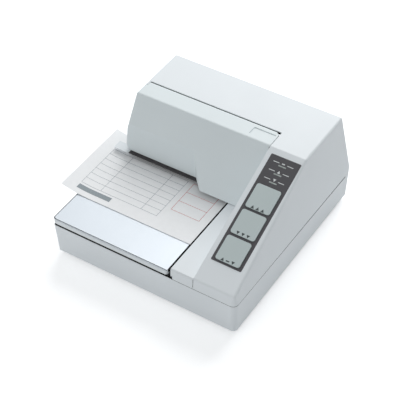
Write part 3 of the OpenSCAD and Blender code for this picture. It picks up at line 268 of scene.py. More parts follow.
def ground_steel(name, base, along, rough=0.22):
    """Centreless ground or turned steel: fine rings round the axis that stretch the highlight."""
    made, tree, shader, place = start(name, {"Metallic": 1.0, "Anisotropic": 0.5})
    stretch = [0.03, 0.03, 0.03]
    stretch[along] = 1.0
    ring = add(tree, "ShaderNodeMapping", {}, {"Vector": place, "Scale": stretch})
    lines = add(tree, "ShaderNodeTexNoise", {},
        {"Vector": ring.outputs["Vector"], "Scale": 2400.0, "Detail": 3.0})
    shades(tree, place, base, 0.04, 80.0, shader)
    roughen(tree, lines.outputs["Fac"], rough - 0.06, rough + 0.12, shader)
    raise_by(tree, lines.outputs["Fac"], 0.000004, 0.4, shader)
    return made


def blasted_casting(name, base):
    """Die cast aluminium, bead blasted: an even grey sparkle with a dull skin."""
    made, tree, shader, place = start(name, {"Metallic": 0.85})
    shades(tree, place, base, 0.07, 500.0, shader)
    bead = add(tree, "ShaderNodeTexVoronoi", {"feature": "SMOOTH_F1"}, {"Vector": place, "Scale": 2600.0})
    roughen(tree, bead.outputs["Distance"], 0.42, 0.62, shader)
    raise_by(tree, bead.outputs["Distance"], 0.00002, 0.6, shader)
    return made


def filled_nylon(name, base):
    """Glass filled nylon: near black, with swirls of fibre along the flow and a dull skin."""
    made, tree, shader, place = start(name, {"IOR": 1.53, "Specular IOR Level": 0.4})
    shades(tree, place, base, 0.18, 120.0, shader)
    along = add(tree, "ShaderNodeMapping", {}, {"Vector": place, "Scale": (0.2, 1.0, 1.0)})
    fibre = add(tree, "ShaderNodeTexNoise", {}, {"Vector": along.outputs["Vector"], "Scale": 1100.0,
                                                 "Detail": 4.0, "Distortion": 0.6})
    roughen(tree, fibre.outputs["Fac"], 0.42, 0.66, shader)
    raise_by(tree, fibre.outputs["Fac"], 0.00001, 0.5, shader)
    return made


def acetal(name, base):
    """Natural acetal: waxy, faintly see-through at the teeth, with a soft gloss."""
    made, tree, shader, place = start(name, {"IOR": 1.48, "Specular IOR Level": 0.45,
                                             "Subsurface Weight": 0.12, "Subsurface Scale": 0.002})
    shades(tree, place, base, 0.02, 90.0, shader)
    flow = add(tree, "ShaderNodeTexNoise", {}, {"Vector": place, "Scale": 600.0, "Detail": 2.0})
    roughen(tree, flow.outputs["Fac"], 0.28, 0.4, shader)
    return made


def ground_rubber(name, base, along=0):
    """Nitrile rubber ground to size: dull, with grinding marks round the roller and a trace of paper dust."""
    made, tree, shader, place = start(name, {"IOR": 1.52, "Specular IOR Level": 0.25, "Sheen Weight": 0.15,
                                             "Sheen Roughness": 0.6})
    shades(tree, place, base, 0.22, 220.0, shader)
    stretch = [0.1, 0.1, 0.1]
    stretch[along] = 1.0
    ring = add(tree, "ShaderNodeMapping", {}, {"Vector": place, "Scale": stretch})
    grind = add(tree, "ShaderNodeTexNoise", {},
        {"Vector": ring.outputs["Vector"], "Scale": 1500.0, "Detail": 3.0})
    roughen(tree, grind.outputs["Fac"], 0.62, 0.85, shader)
    raise_by(tree, grind.outputs["Fac"], 0.00002, 0.5, shader)
    return made


def circuit_board(name, base):
    """Glass epoxy board under green solder resist: tracks stand a little proud and read lighter."""
    made, tree, shader, place = start(name, {"IOR": 1.55, "Coat Weight": 0.4, "Coat Roughness": 0.12})
    track = add(tree, "ShaderNodeTexBrick", {"offset": 0.37, "squash": 0.6},
                {"Vector": place, "Scale": 90.0, "Mortar Size": 0.06, "Mortar Smooth": 0.2,
                 "Color1": [*base[:3], 1.0], "Color2": [c * 0.86 for c in base[:3]] + [1.0],
                 "Mortar": [min(1.0, c * 1.7) for c in base[:3]] + [1.0]})
    tree.links.new(track.outputs["Color"], shader.inputs["Base Color"])
    weave = add(tree, "ShaderNodeTexNoise", {}, {"Vector": place, "Scale": 900.0, "Detail": 1.0})
    roughen(tree, weave.outputs["Fac"], 0.22, 0.36, shader)
    raise_by(tree, track.outputs["Fac"], 0.00003, 0.5, shader)
    return made


def drawn_can(name, base):
    """Deep drawn motor can, dark plated: draw lines along its side and a satin gloss."""
    made, tree, shader, place = start(name, {"Metallic": 0.9})
    shades(tree, place, base, 0.08, 70.0, shader)
    draw = add(tree, "ShaderNodeTexNoise", {}, {"Vector": place, "Scale": 800.0, "Detail": 4.0})
    roughen(tree, draw.outputs["Fac"], 0.28, 0.44, shader)
    raise_by(tree, draw.outputs["Fac"], 0.00001, 0.25, shader)
    return made


def turned_brass(name, base):
    """Turned brass: warm metal with fine tool rings and faint tarnish."""
    made, tree, shader, place = start(name, {"Metallic": 1.0})
    shades(tree, place, base, 0.1, 240.0, shader)
    ring = add(tree, "ShaderNodeTexNoise", {}, {"Vector": place, "Scale": 2000.0, "Detail": 2.0})
    roughen(tree, ring.outputs["Fac"], 0.2, 0.36, shader)
    raise_by(tree, ring.outputs["Fac"], 0.000005, 0.4, shader)
    return made


def inked_nylon(name, base):
    """Woven nylon ribbon soaked in ink: threads 0.35 mm apart, drawn coarse so that they show."""
    made, tree, shader, place = start(name, {"Specular IOR Level": 0.3, "Sheen Weight": 0.4,
                                             "Sheen Roughness": 0.4})
    shades(tree, place, base, 0.3, 150.0, shader)
    warp = add(tree, "ShaderNodeTexWave", {"bands_direction": "X"}, {"Vector": place, "Scale": 900.0})
    weft = add(tree, "ShaderNodeTexWave", {"bands_direction": "Y"}, {"Vector": place, "Scale": 900.0})
    cross = add(tree, "ShaderNodeMath", {"operation": "MULTIPLY"},
                {0: warp.outputs["Fac"], 1: weft.outputs["Fac"]})
    roughen(tree, cross.outputs["Value"], 0.45, 0.75, shader)
    raise_by(tree, cross.outputs["Value"], 0.00004, 0.7, shader)
    return made


def shade_fill_finish(name, base):
    """Black, dull, light-trapping fill with a cell-like bump: painted shade that makes a joint read as a dark
    line.
    """
    made, tree, shader, place = start(name, {"Specular IOR Level": 0.1})
    shades(tree, place, base, 0.2, 400.0, shader)
    cell = add(tree, "ShaderNodeTexVoronoi", {}, {"Vector": place, "Scale": 2500.0})
    roughen(tree, cell.outputs["Distance"], 0.8, 0.95, shader)
    raise_by(tree, cell.outputs["Distance"], 0.00005, 0.6, shader)
    return made


def form_paper(name, base):
    """Carbonless paper in plies: matt, faintly mottled by its fibres."""
    made, tree, shader, place = start(name, {"IOR": 1.5, "Specular IOR Level": 0.2})
    shades(tree, place, base, 0.012, 240.0, shader)
    fibre = add(tree, "ShaderNodeTexNoise", {},
                {"Vector": place, "Scale": 1400.0, "Detail": 6.0, "Roughness": 0.7})
    roughen(tree, fibre.outputs["Fac"], 0.72, 0.9, shader)
    raise_by(tree, fibre.outputs["Fac"], 0.00001, 0.4, shader)
    return made


def printing_ink(name, base):
    """Offset ink on paper: flat, with the fibres breaking it up a little."""
    made, tree, shader, place = start(name, {"Specular IOR Level": 0.2})
    shades(tree, place, base, 0.1, 1800.0, shader)
    fibre = add(tree, "ShaderNodeTexNoise", {}, {"Vector": place, "Scale": 2500.0, "Detail": 2.0})
    roughen(tree, fibre.outputs["Fac"], 0.6, 0.8, shader)
    return made


def dress(finish, *nodes):
    """Puts a finish on CAD nodes in place of their plain colour."""
    for name in nodes:
        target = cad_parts[name]
        target.data.materials.clear()
        target.data.materials.append(finish)


# Meshes ---------------------------------------------------------------------------------------

def template(name, shape):
    """A bmesh as a mesh, for a piece or for a tree to copy."""
    data = bpy.data.meshes.new(name)
    bmesh.ops.recalc_face_normals(shape, faces=shape.faces)
    shape.to_mesh(data)
    shape.free()
    return data


def piece(name, shape, finish, body):
    """Turns a bmesh into a finished piece that rides on a body."""
    return settle(bpy.data.objects.new(name, template(name, shape)), finish, body)


def settle(made, finish, body):
    """Links a piece, gives it its finish and its body."""
    bpy.context.scene.collection.objects.link(made)
    made.data.materials.clear()
    made.data.materials.append(finish)
    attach(made, body)
    return made


def brick(shape, low, high):
    """Adds a box between two corners, in millimetres."""
    low, high = Vector(low) * MM, Vector(high) * MM
    place = Matrix.Translation((low + high) / 2) @ Matrix.Diagonal((*(high - low), 1.0))
    bmesh.ops.create_cube(shape, size=1.0, matrix=place)


def socket_id(tree, name):
    """Identifier of a tree's named input."""
    return next(item.identifier for item in tree.interface.items_tree
                if item.item_type == "SOCKET" and item.in_out == "INPUT" and item.name == name)


def grow(name, template, tree, values, finish, body):
    """Runs a Geometry Nodes tree on a template mesh and keeps the result as a plain piece."""
    seed = bpy.data.objects.new(name + "_seed", template)
    bpy.context.scene.collection.objects.link(seed)
    layer = seed.modifiers.new("Copies", "NODES")
    layer.node_group = tree
    for key, value in {**values, "Finish": finish}.items():
        layer[socket_id(tree, key)] = value
    graph = bpy.context.evaluated_depsgraph_get()
    data = bpy.data.meshes.new_from_object(seed.evaluated_get(graph), depsgraph=graph)
    seed.modifiers.remove(layer)
    bpy.data.objects.remove(seed)
    data.name = name
    return settle(bpy.data.objects.new(name, data), finish, body)


def new_tree(name, inputs):
    """An empty geometry tree with named inputs."""
    tree = bpy.data.node_groups.new(name, "GeometryNodeTree")
    tree.interface.new_socket("Geometry", in_out="OUTPUT", socket_type="NodeSocketGeometry")
    tree.interface.new_socket("Geometry", in_out="INPUT", socket_type="NodeSocketGeometry")
    for label, kind in inputs:
        tree.interface.new_socket(label, in_out="INPUT", socket_type=kind)
    return tree, tree.nodes.new("NodeGroupInput").outputs


def close_tree(tree, geometry, finish):
    """Realizes copies, sets their finish and closes the tree."""
    real = add(tree, "GeometryNodeRealizeInstances", {}, {"Geometry": geometry})
    clad = add(tree, "GeometryNodeSetMaterial", {},
               {"Geometry": real.outputs["Geometry"], "Material": finish})
    add(tree, "NodeGroupOutput", {}, {"Geometry": clad.outputs["Geometry"]})


def grid_tree():
    """Copies of the template in columns and rows."""
    tree, given = new_tree("Copies on a grid", (
        ("Columns", "NodeSocketInt"), ("Rows", "NodeSocketInt"), ("Column Step", "NodeSocketVector"),
        ("Row Step", "NodeSocketVector"), ("Finish", "NodeSocketMaterial")))
    row = add(tree, "GeometryNodeMeshLine", {"mode": "OFFSET"},
              {"Count": given["Columns"], "Offset": given["Column Step"]})
    first = add(tree, "GeometryNodeInstanceOnPoints", {},
                {"Points": row.outputs["Mesh"], "Instance": given["Geometry"]})
    rows = add(tree, "GeometryNodeMeshLine", {"mode": "OFFSET"},
               {"Count": given["Rows"], "Offset": given["Row Step"]})
    whole = add(tree, "GeometryNodeInstanceOnPoints", {},
                {"Points": rows.outputs["Mesh"], "Instance": first.outputs["Instances"]})
    close_tree(tree, whole.outputs["Instances"], given["Finish"])
    return tree


def path_tree():
    """Small bars set at equal steps along the template, a closed line of edges, across its plane."""
    tree, given = new_tree("Bars along a path", (
        ("Count", "NodeSocketInt"), ("Bar Size", "NodeSocketVector"), ("Finish", "NodeSocketMaterial")))
    curve = add(tree, "GeometryNodeMeshToCurve", {}, {"Mesh": given["Geometry"]})
    steps = add(tree, "GeometryNodeResampleCurve", {"mode": "COUNT"},
                {"Curve": curve.outputs["Curve"], "Count": given["Count"]})
    bar = add(tree, "GeometryNodeMeshCube", {}, {"Size": given["Bar Size"]})
    heading = add(tree, "GeometryNodeInputTangent", {}, {})
    turn = add(tree, "FunctionNodeAlignRotationToVector", {"axis": "X", "pivot_axis": "Y"},
               {"Vector": heading.outputs["Tangent"]})
    bars = add(tree, "GeometryNodeInstanceOnPoints", {},
               {"Points": steps.outputs["Curve"], "Instance": bar.outputs["Mesh"],
                "Rotation": turn.outputs["Rotation"]})
    close_tree(tree, bars.outputs["Instances"], given["Finish"])
    return tree


def on_slope(x, down, out):
    """A point on the tower's slope: across, down from the ridge and out of the face, in millimetres."""
    return (RIDGE @ Vector((x, -down, out))) * MM


def flat(shape, points):
    """Adds a printed patch from its corners, in metres."""
    shape.faces.new([shape.verts.new(point) for point in points])


def white_to_rays(tree):
    """One for the rays that should meet the white background: camera, mirror and see-through rays."""
    ray = add(tree, "ShaderNodeLightPath", {}, {})
    direct = add(tree, "ShaderNodeMath", {"operation": "MAXIMUM"},
                 {0: ray.outputs["Is Camera Ray"], 1: ray.outputs["Is Transmission Ray"]})
    both = add(tree, "ShaderNodeMath", {"operation": "MAXIMUM"},
               {0: direct.outputs["Value"], 1: ray.outputs["Is Glossy Ray"]})
    return both.outputs["Value"]


# Operators ------------------------------------------------------------------------------------

class PRINTER_OT_stage(bpy.types.Operator):
    """Camera, floor and soft lights"""
    bl_idname = "printer.stage"
    bl_label = "Stage"

    def execute(self, context):
        want = context.scene.printer_studio
        self.camera(context.scene, want)
        self.floor(context.scene)
        self.sky(context.scene, want)
        aim = Vector(want.aim)
        for name, power, place in (("rear_softbox", want.rear_light, REAR_PLACE),
                                   ("front_softbox", want.front_light, FRONT_PLACE)):
            lamp = bpy.data.lights.new(name, "AREA")
            lamp.shape, lamp.size, lamp.energy = "DISK", LAMP_SIZE, power
            made = bpy.data.objects.new(name, lamp)
            made.location = place
            made.rotation_euler = (aim - Vector(place)).to_track_quat("-Z", "Y").to_euler()
            context.scene.collection.objects.link(made)
        return {"FINISHED"}

    @staticmethod
    def camera(scene, want):
        az, el, roll = want.azimuth, want.elevation, want.roll
        back = Vector((math.sin(az) * math.cos(el), -math.cos(az) * math.cos(el), math.sin(el)))
        right = Vector((math.cos(az), math.sin(az), 0.0))
        up = back.cross(right)
        across = math.cos(roll) * right + math.sin(roll) * up
        above = math.cos(roll) * up - math.sin(roll) * right
        lens = bpy.data.cameras.new("camera")
        lens.lens, lens.sensor_width = want.lens, 36.0
        lens.clip_start, lens.clip_end = 0.05, 20.0
        made = bpy.data.objects.new("camera", lens)
        turn = Matrix((across, above, back)).transposed().to_4x4()
        made.matrix_world = Matrix.Translation(Vector(want.aim) + back * want.distance) @ turn
        scene.collection.objects.link(made)
        scene.camera = made

    @staticmethod
    def floor(scene):
        # Matt white paper sweep: the camera sees it lifted to white, and it keeps the soft shadow
        shape = bmesh.new()
        bmesh.ops.create_grid(shape, x_segments=1, y_segments=1, size=FLOOR_HALF)
        data = bpy.data.meshes.new("floor")
        shape.to_mesh(data)
        shape.free()
        made = bpy.data.objects.new("floor", data)
        made.location.z = FLOOR_Z
        scene.collection.objects.link(made)
        paper = bpy.data.materials.new("white_paper_sweep")
        paper.use_nodes = True
        tree = paper.node_tree
        tree.nodes.clear()
        seen = white_to_rays(tree)
        lift = add(tree, "ShaderNodeMath", {"operation": "MULTIPLY"}, {0: seen, 1: FLOOR_LIFT})
        glow = add(tree, "ShaderNodeEmission", {}, {"Strength": lift.outputs["Value"]})
        matt = add(tree, "ShaderNodeBsdfDiffuse", {}, {"Color": linear("F2F3F4")})
        both = add(tree, "ShaderNodeAddShader", {}, {0: matt.outputs["BSDF"], 1: glow.outputs["Emission"]})
        add(tree, "ShaderNodeOutputMaterial", {}, {"Surface": both.outputs["Shader"]})
        data.materials.append(paper)

    @staticmethod
    def sky(scene, want):
        world = bpy.data.worlds.new("studio")
        scene.world = world
        world.use_nodes = True
        tree = world.node_tree
        tree.nodes.clear()
        seen = white_to_rays(tree)
        level = add(tree, "ShaderNodeMapRange", {}, {"Value": seen, "To Min": want.sky, "To Max": 1.0})
        even = add(tree, "ShaderNodeBackground", {},
                   {"Color": SKY_COLOUR, "Strength": level.outputs["Result"]})
        add(tree, "ShaderNodeOutputWorld", {}, {"Surface": even.outputs["Background"]})
        scene.view_settings.view_transform = "Standard"


class PRINTER_OT_shell(bpy.types.Operator):
    """Finishes of the case, the table and the cover"""
    bl_idname = "printer.shell"
    bl_label = "Shell"

    def execute(self, context):
        tint, size = context.scene.printer_colours, context.scene.printer_sizes
        shell = spark_textured_abs("moulded_abs_shell", tint.shell, size.grain)
        dress(shell, "lower_case", "upper_case", "slip_table", "paper_guide", "switch_bank_cover")
        dress(spark_textured_abs("moulded_abs_cover", tint.cover, size.grain), "ribbon_cover")
        dress(brushed_steel("brushed_stainless_sheet", tint.table), "table_plate")
        return {"FINISHED"}


class PRINTER_OT_panel(bpy.types.Operator):
    """Control panel, keys and indicators"""
    bl_idname = "printer.panel"
    bl_label = "Control panel"

    def execute(self, context):
        tint, size = context.scene.printer_colours, context.scene.printer_sizes
        dress(printed_film("matt_polycarbonate_film", tint.panel), "control_panel")
        dress(spark_textured_abs("moulded_abs_keys", tint.key, size.grain * 0.7, 0.42, 0.00002),
              "feed_button", "reverse_button", "release_button")
        dress(light_pipe("polycarbonate_light_pipe", tint.lamp), "indicator_lenses")
        dress(circuit_board("solder_resist_board", tint.resist), "panel_board", "main_board",
              "interface_board")
        return {"FINISHED"}


class PRINTER_OT_symbols(bpy.types.Operator):
    """Printed marks on the keys and beside the indicators"""
    bl_idname = "printer.symbols"
    bl_label = "Printed marks"

    def execute(self, context):
        tint, size = context.scene.printer_colours, context.scene.printer_sizes
        low, high = (v / MM for v in map(Vector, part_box("control_panel")))
        mid, wide = (low[0] + high[0]) / 2, size.symbol / MM
        ink = printing_ink("dark_pad_ink", tint.key_ink)
        for body, down, turns in zip(("feed_button", "reverse_button", "release_button"), KEY_ENDS,
                                     ((1, 1, 1), (-1, -1, -1), (1, 0, -1))):
            marks = bmesh.new()
            for place, turn in enumerate(turns):
                self.mark(marks, mid + (place - 1) * wide * 1.5, down - wide, KEY_TOP, wide, turn)
            piece(body + "_marks", marks, ink, body)
        rows = bmesh.new()
        for place, down in enumerate(LAMP_ROWS):
            spot = down - 1.6 * wide
            for side in (-1, 1):
                self.bar(rows, mid + side * wide * 2.1, spot + wide / 2, PANEL_TOP, wide * 1.8, wide * 0.2)
            self.mark(rows, mid, spot, PANEL_TOP, wide * 0.9, (0, 1, -1)[place])
        piece("panel_marks", rows, printing_ink("pale_screen_ink", tint.panel_ink), "frame")
        return {"FINISHED"}

    @staticmethod
    def bar(shape, x, down, out, width, depth):
        flat(shape, [on_slope(x + a * width / 2, down + b * depth / 2, out)
                     for a, b in ((-1, 1), (1, 1), (1, -1), (-1, -1))])

    def mark(self, shape, x, down, out, width, turn):
        """A triangle that points up the slope (1) or down it (-1), or a bar (0)."""
        if turn == 0:
            self.bar(shape, x, down + width / 2, out, width, width * 0.34)
            return
        near, far = (down + width * 0.9, down) if turn > 0 else (down, down + width * 0.9)
        points = [on_slope(x - width / 2, near, out), on_slope(x + width / 2, near, out),
                  on_slope(x, far, out)]
        flat(shape, points if turn > 0 else points[::-1])


class PRINTER_OT_joints(bpy.types.Operator):
    """Painted shade: dark stand-ins for the shadow in the open joints of the case and the table"""
    bl_idname = "printer.joints"
    bl_label = "Joint shade"

    def execute(self, context):
        dark_joint_shade = shade_fill_finish("painted_joint_shade", context.scene.printer_colours.dark_joint_shade)
        table = [v / MM for v in map(Vector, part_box("table_plate"))]
        shade_strips = bmesh.new()
        # Painted shade behind the parting line and the table's skirt gap, then a painted shade line flush in
        # the parting line on the right
        self.band(shade_strips, 0.45, -88.4, -0.75, 1.05)
        self.band(shade_strips, 0.06, 29.2, -0.47, -0.03)
        # Painted shade in the gap between the table and the paper guide
        below, rear = 37.6, 58.0
        brick(shade_strips, (table[1][0] - 0.7, table[0][1] + 1.4, below),
              (table[1][0] + 3.4, rear, table[1][2] + 0.04))
        # Painted shade behind the cover's hinge bead and beside the cover's right end
        cover = [v / MM for v in map(Vector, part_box("ribbon_cover"))]
        bead, end_front, end = (90.5, 93.1), 22.5, (80.0, 93.3)
        brick(shade_strips, (cover[0][0] + 0.6, cover[1][1] + 0.08, bead[0]),
              (cover[1][0] + 0.3, cover[1][1] + 0.7, bead[1]))
        brick(shade_strips, (cover[1][0] + 0.12, end_front, end[0]), (cover[1][0] + 0.4, cover[1][1] + 0.3, end[1]))
        # Painted shade in the seam between the guide and the tower; the front wall leans back by one in
        # front_rise
        guide = [v / MM for v in map(Vector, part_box("paper_guide"))]
        seam = guide[1][0] + 0.1
        half, foot, head, front_rise = 0.22, 34.6, 42.8, 10.8
        flat(shade_strips, [Vector((x, CASE_FRONT - 0.14 + (z - PARTING_FRONT) / front_rise, z)) * MM for x, z in
                    ((seam - half, foot), (seam + half, foot), (seam + half, head), (seam - half, head))])
        piece("joint_shade_strips", shade_strips, dark_joint_shade, "frame")
        # Painted shadow of the plate's edge in the gap round it: a thin dark line along its left end, its
        # corner and its front
        (x0, y0, _), (x1, y1, z1) = table
        turn, wide, lift = 2.2, 0.6, z1 + 0.02
        arc = [math.pi / 2 * step / 5 for step in range(6)]
        line = [(x0 + 0.2, 52.0),
                *((x0 + 0.2 + turn - turn * math.cos(a), y0 + 0.2 + turn - turn * math.sin(a)) for a in arc),
                (x1 - 0.8, y0 + 0.2)]
        edge = bmesh.new()
        sides = [[edge.verts.new(Vector((x + k, y + k, lift)) * MM) for k in (0.0, wide)] for x, y in line]
        for one, two in zip(sides, sides[1:]):
            edge.faces.new((one[0], one[1], two[1], two[0]))
        piece("plate_edge_painted_shadow", edge, dark_joint_shade, "frame")
        return {"FINISHED"}

    @staticmethod
    def band(shape, inset, start_x, down, up):
        """A strip inside the parting line, round the front from start_x to the rear right."""
        left, front, right, rear = -CASE_SIDE + inset, CASE_FRONT + inset, CASE_SIDE - inset, 88.0
        turn, steps, depth = CORNER - inset, 6, 0.4
        path = [(left, rear), (left, front + 1.1)] if start_x < 0 else []
        path += [(max(left + 1.1, start_x), front)]
        path += [(right - turn + turn * math.sin(a), front + turn - turn * math.cos(a))
                 for a in (math.pi / 2 * step / steps for step in range(steps + 1))]
        path += [(right, rear)]
        rings = []
        for x, y in path:
            z = PARTING_FRONT - PARTING_FALL * (y - CASE_FRONT) / CASE_DEPTH
            inward = 1 - depth / max(abs(x), abs(y))
            rings.append([shape.verts.new(Vector((x * k, y * k, z + height)) * MM)
                          for k, height in ((1, down), (1, up), (inward, up), (inward, down))])
        for one, two in zip(rings, rings[1:]):
            for a in range(4):
                b = (a + 1) % 4
                shape.faces.new((one[a], two[a], two[b], one[b]))
        for end in (rings[0], rings[-1][::-1]):
            shape.faces.new(end)


class PRINTER_OT_lip(bpy.types.Operator):
    """Ribbed lip of the upper form guide, dark as painted shade under the cover, and its white end"""
    bl_idname = "printer.lip"
    bl_label = "Guide lip"

    def execute(self, context):
        tint, size = context.scene.printer_colours, context.scene.printer_sizes
        low, high = (v / MM for v in map(Vector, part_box("upper_guide_plate")))
        front, top = 0.6, low[2] - 0.9
        left, right, rear = low[0] - 1.5, high[0] + 2.6, low[1]
        sheet = bmesh.new()
        brick(sheet, (left, front, top - 0.5), (right, rear + 1.4, top))
        brick(sheet, (low[0] + 4, rear + 0.2, top), (high[0] - 4, rear + 1.4, low[2]))
        # The lip's dark colour is painted shade from the cover above it
        moulded = filled_nylon("guide_lip_painted_shade", tint.guide)
        piece("guide_lip", sheet, moulded, "frame")
        step = size.rib_pitch / MM
        rib = bmesh.new()
        brick(rib, (left + 0.6, front + 0.2, top - 0.05),
              (right - 0.6, front + 0.2 + step * 0.45, top + 0.15))
        grow("guide_lip_ribs", template("rib", rib), grid_tree(),
             {"Columns": 1, "Rows": int((rear - front) / step), "Column Step": (0.0, 0.0, 0.0),
              "Row Step": (0.0, size.rib_pitch, 0.0)}, moulded, "frame")
        # The pale end stands a little out of the case on the left
        end, tip = bmesh.new(), -94.8
        brick(end, (tip, 0.1, top - 0.6), (left - 0.02, rear + 1.4, top + 0.1))
        bmesh.ops.bevel(end, geom=[e for e in end.edges if abs(e.verts[0].co.z - e.verts[1].co.z) > 0.0001],
                        offset=0.0008, segments=3, affect="EDGES", profile=0.5)
        finish = spark_textured_abs("moulded_abs_guide_end", tint.shell, size.grain)
        piece("guide_lip_end", end, finish, "frame")
        return {"FINISHED"}


class PRINTER_OT_mechanism(bpy.types.Operator):
    """Frame, carriage drive and ribbon"""
    bl_idname = "printer.mechanism"
    bl_label = "Print mechanism"

    def execute(self, context):
        tint, size = context.scene.printer_colours, context.scene.printer_sizes
        zinc = zinc_plate("zinc_plated_sheet", tint.zinc)
        dress(zinc, "left_side_plate", "right_side_plate", "rear_frame_plate", "upper_guide_plate",
              "carriage_rail", "platen_beam", "feed_plate", "pinch_arm", "release_solenoid", "form_stopper")
        dress(ground_steel("ground_steel_shaft", linear("C4C8CC"), 0), "guide_shaft", "feed_shaft",
              "pinch_pivot", "pinch_shaft", "hinge_pins")
        dress(ground_steel("turned_steel", linear("A9ADB1"), 1, 0.3), "drive_pulley", "idler_pin",
              "solenoid_plunger", "case_screws", "interface_connector")
        dress(blasted_casting("blasted_aluminium_casting", linear("7B7E80")), "print_head")
        nylon = filled_nylon("glass_filled_nylon", tint.black)
        dress(nylon, "carriage", "idler_pulley", "power_inlet", "switch_housing", "power_rocker")
        dress(spark_textured_abs("moulded_styrene_cassette", linear("26262A"), size.grain, 0.5),
              "ribbon_cassette")
        dress(acetal("natural_acetal", tint.acetal), "ribbon_knob", "ribbon_gear", "feed_gear")
        dress(drawn_can("plated_motor_can", linear("565A5E")), "carriage_motor", "feed_motor")
        dress(turned_brass("turned_brass", linear("B9A05A")), "feed_pinion", "ground_screw")
        rubber = ground_rubber("ground_nitrile_rubber", tint.rubber)
        dress(rubber, "platen", "feed_rollers", "pinch_rollers", "carriage_belt", "rubber_feet")
        dress(inked_nylon("inked_woven_nylon", linear("121217")), "ink_ribbon")
        self.belt_teeth(context, rubber, size.tooth_count)
        return {"FINISHED"}

    @staticmethod
    def belt_teeth(context, finish, count):
        """A thin row of teeth on the inner face of the belt."""
        low, high = (v / MM for v in map(Vector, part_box("carriage_belt")))
        r = (high[2] - low[2]) / 2 - TOOTH_INSET
        mid_z, y = (low[2] + high[2]) / 2, (low[1] + high[1]) / 2
        ends = (low[0] + r + TOOTH_INSET, high[0] - r - TOOTH_INSET)
        shape, ring, steps = bmesh.new(), [], 16
        for end, first in ((ends[1], -90), (ends[0], 90)):
            for step in range(steps + 1):
                turn = math.radians(first + step * 180 / steps)
                place = Vector((end + r * math.cos(turn), y, mid_z + r * math.sin(turn)))
                ring.append(shape.verts.new(place * MM))
        for one, two in zip(ring, ring[1:] + ring[:1]):
            shape.edges.new((one, two))
        grow("belt_teeth", template("belt_path", shape), path_tree(),
             {"Count": count, "Bar Size": (0.0008, (high[1] - low[1]) * MM, 0.0003)},
             finish, "frame")


class PRINTER_OT_form(bpy.types.Operator):
    """The form and its preprinted lines"""
    bl_idname = "printer.form"
    bl_label = "Slip form"

    def execute(self, context):
        tint, size = context.scene.printer_colours, context.scene.printer_sizes
        dress(form_paper("carbonless_paper", tint.paper), "slip_form")
        low, high = (v / MM for v in map(Vector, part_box("slip_form")))
        self.low, self.curl = low, [v / MM for v in (size.curl_width, size.curl_height, size.form, size.ply)]
        width = size.line / MM
        grey, red = bmesh.new(), bmesh.new()
        left, right, front, rear = low[0] + 12, high[0] - 8, low[1] + 6, low[1] + 62
        # A grey table of 8 lines on the left, a thick grey strip in front of it, and 3 red boxes on the right
        table_end, row_step, box_left, box_step = right - 34, 7, right - 28, 12
        for row in range(8):
            self.strip(grey, left, table_end, rear - row_step * row, width)
        for column in (left, left + 20, left + 62, table_end):
            self.bar(grey, column, rear - 7 * row_step, rear, width)
        self.strip(grey, left, left + 34, front + 2, 5.0)
        for row in range(4):
            self.strip(red, box_left, right, rear - box_step * row, width)
        for column in (box_left, right):
            self.bar(red, column, rear - 3 * box_step, rear, width)
        piece("form_lines", grey, printing_ink("grey_offset_ink", tint.form_ink), "slip")
        piece("form_boxes", red, printing_ink("red_offset_ink", tint.mark), "slip")
        return {"FINISHED"}

    def height(self, x):
        """Height of the print at x, in millimetres: flat, then curling up to the left."""
        across, up, thick, ply = self.curl
        base = self.low[2] + thick + ply
        bend = self.low[0] + across
        r = (across ** 2 + up ** 2) / (2 * up) - thick
        return base + r - math.sqrt(r ** 2 - max(0.0, bend - x) ** 2)

    def strip(self, shape, x0, x1, y, width):
        """A printed line across the form, which follows its curl."""
        count = max(2, int((x1 - x0) / 3))
        rows = []
        for step in range(count + 1):
            x = x0 + (x1 - x0) * step / count
            z = self.height(x)
            rows.append([shape.verts.new(Vector((x, y + d, z)) * MM) for d in (-width / 2, width / 2)])
        for one, two in zip(rows, rows[1:]):
            shape.faces.new((one[0], two[0], two[1], one[1]))

    def bar(self, shape, x, y0, y1, width):
        """A printed line from front to rear."""
        z = self.height(x)
        corners = [shape.verts.new(Vector((x + dx, y, z)) * MM) for dx, y in
                   ((-width / 2, y0), (width / 2, y0), (width / 2, y1), (-width / 2, y1))]
        shape.faces.new(corners)


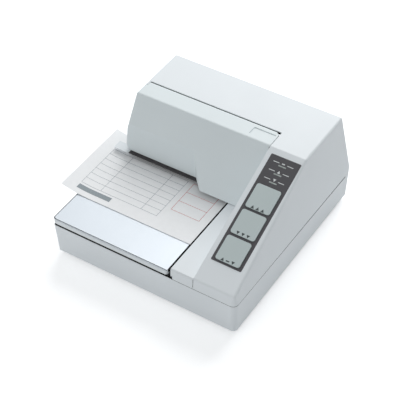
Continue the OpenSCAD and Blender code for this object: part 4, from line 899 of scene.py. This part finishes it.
class PRINTER_OT_sockets(bpy.types.Operator):
    """Contacts of the interface socket at the rear"""
    bl_idname = "printer.sockets"
    bl_label = "Socket contacts"

    def execute(self, context):
        size = context.scene.printer_sizes
        gold = turned_brass("gold_flashed_contacts", linear("C9A94F"))
        low, high = (v / MM for v in map(Vector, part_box("interface_connector")))
        mid, y, w = (low[0] + high[0]) / 2, high[1] - 2.0, size.pin / MM / 2
        for name, count, up in PIN_ROWS:
            first, z = mid - PIN_PITCH / 2 * (count - 1), PORT_Z + up
            shape = bmesh.new()
            brick(shape, (first - w, y - 0.6, z - w), (first + w, y + 0.3, z + w))
            grow(name, template(name + "_first", shape), grid_tree(),
                 {"Columns": count, "Rows": 1, "Column Step": (PIN_PITCH * MM, 0.0, 0.0),
                  "Row Step": (0.0, 0.0, 0.0)}, gold, "frame")
        return {"FINISHED"}


class PRINTER_PT_sidebar(bpy.types.Panel):
    """Lists the steps in the sidebar"""
    bl_idname = "PRINTER_PT_sidebar"
    bl_label = "Slip Printer"
    bl_space_type = "VIEW_3D"
    bl_region_type = "UI"
    bl_category = "Slip Printer"

    def draw(self, context):
        scene = context.scene
        for group in (scene.printer_colours, scene.printer_sizes, scene.printer_studio):
            box = self.layout.box()
            for key in group.__annotations__:
                box.prop(group, key)
        for step in STEPS:
            self.layout.operator(step.bl_idname)


STEPS = (PRINTER_OT_stage, PRINTER_OT_shell, PRINTER_OT_panel, PRINTER_OT_symbols, PRINTER_OT_joints,
         PRINTER_OT_lip, PRINTER_OT_mechanism, PRINTER_OT_form, PRINTER_OT_sockets)
CLASSES = (PrinterColours, PrinterSizes, StudioSettings) + STEPS + (PRINTER_PT_sidebar,)


def register():
    for one in CLASSES:
        bpy.utils.register_class(one)
    bpy.types.Scene.printer_colours = PointerProperty(type=PrinterColours)
    bpy.types.Scene.printer_sizes = PointerProperty(type=PrinterSizes)
    bpy.types.Scene.printer_studio = PointerProperty(type=StudioSettings)


def unregister():
    for key in ("printer_studio", "printer_sizes", "printer_colours"):
        delattr(bpy.types.Scene, key)
    for one in reversed(CLASSES):
        bpy.utils.unregister_class(one)


def main():
    register()
    for step in STEPS:
        group, call = step.bl_idname.split(".")
        getattr(getattr(bpy.ops, group), call)()


if __name__ == "__main__":
    main()
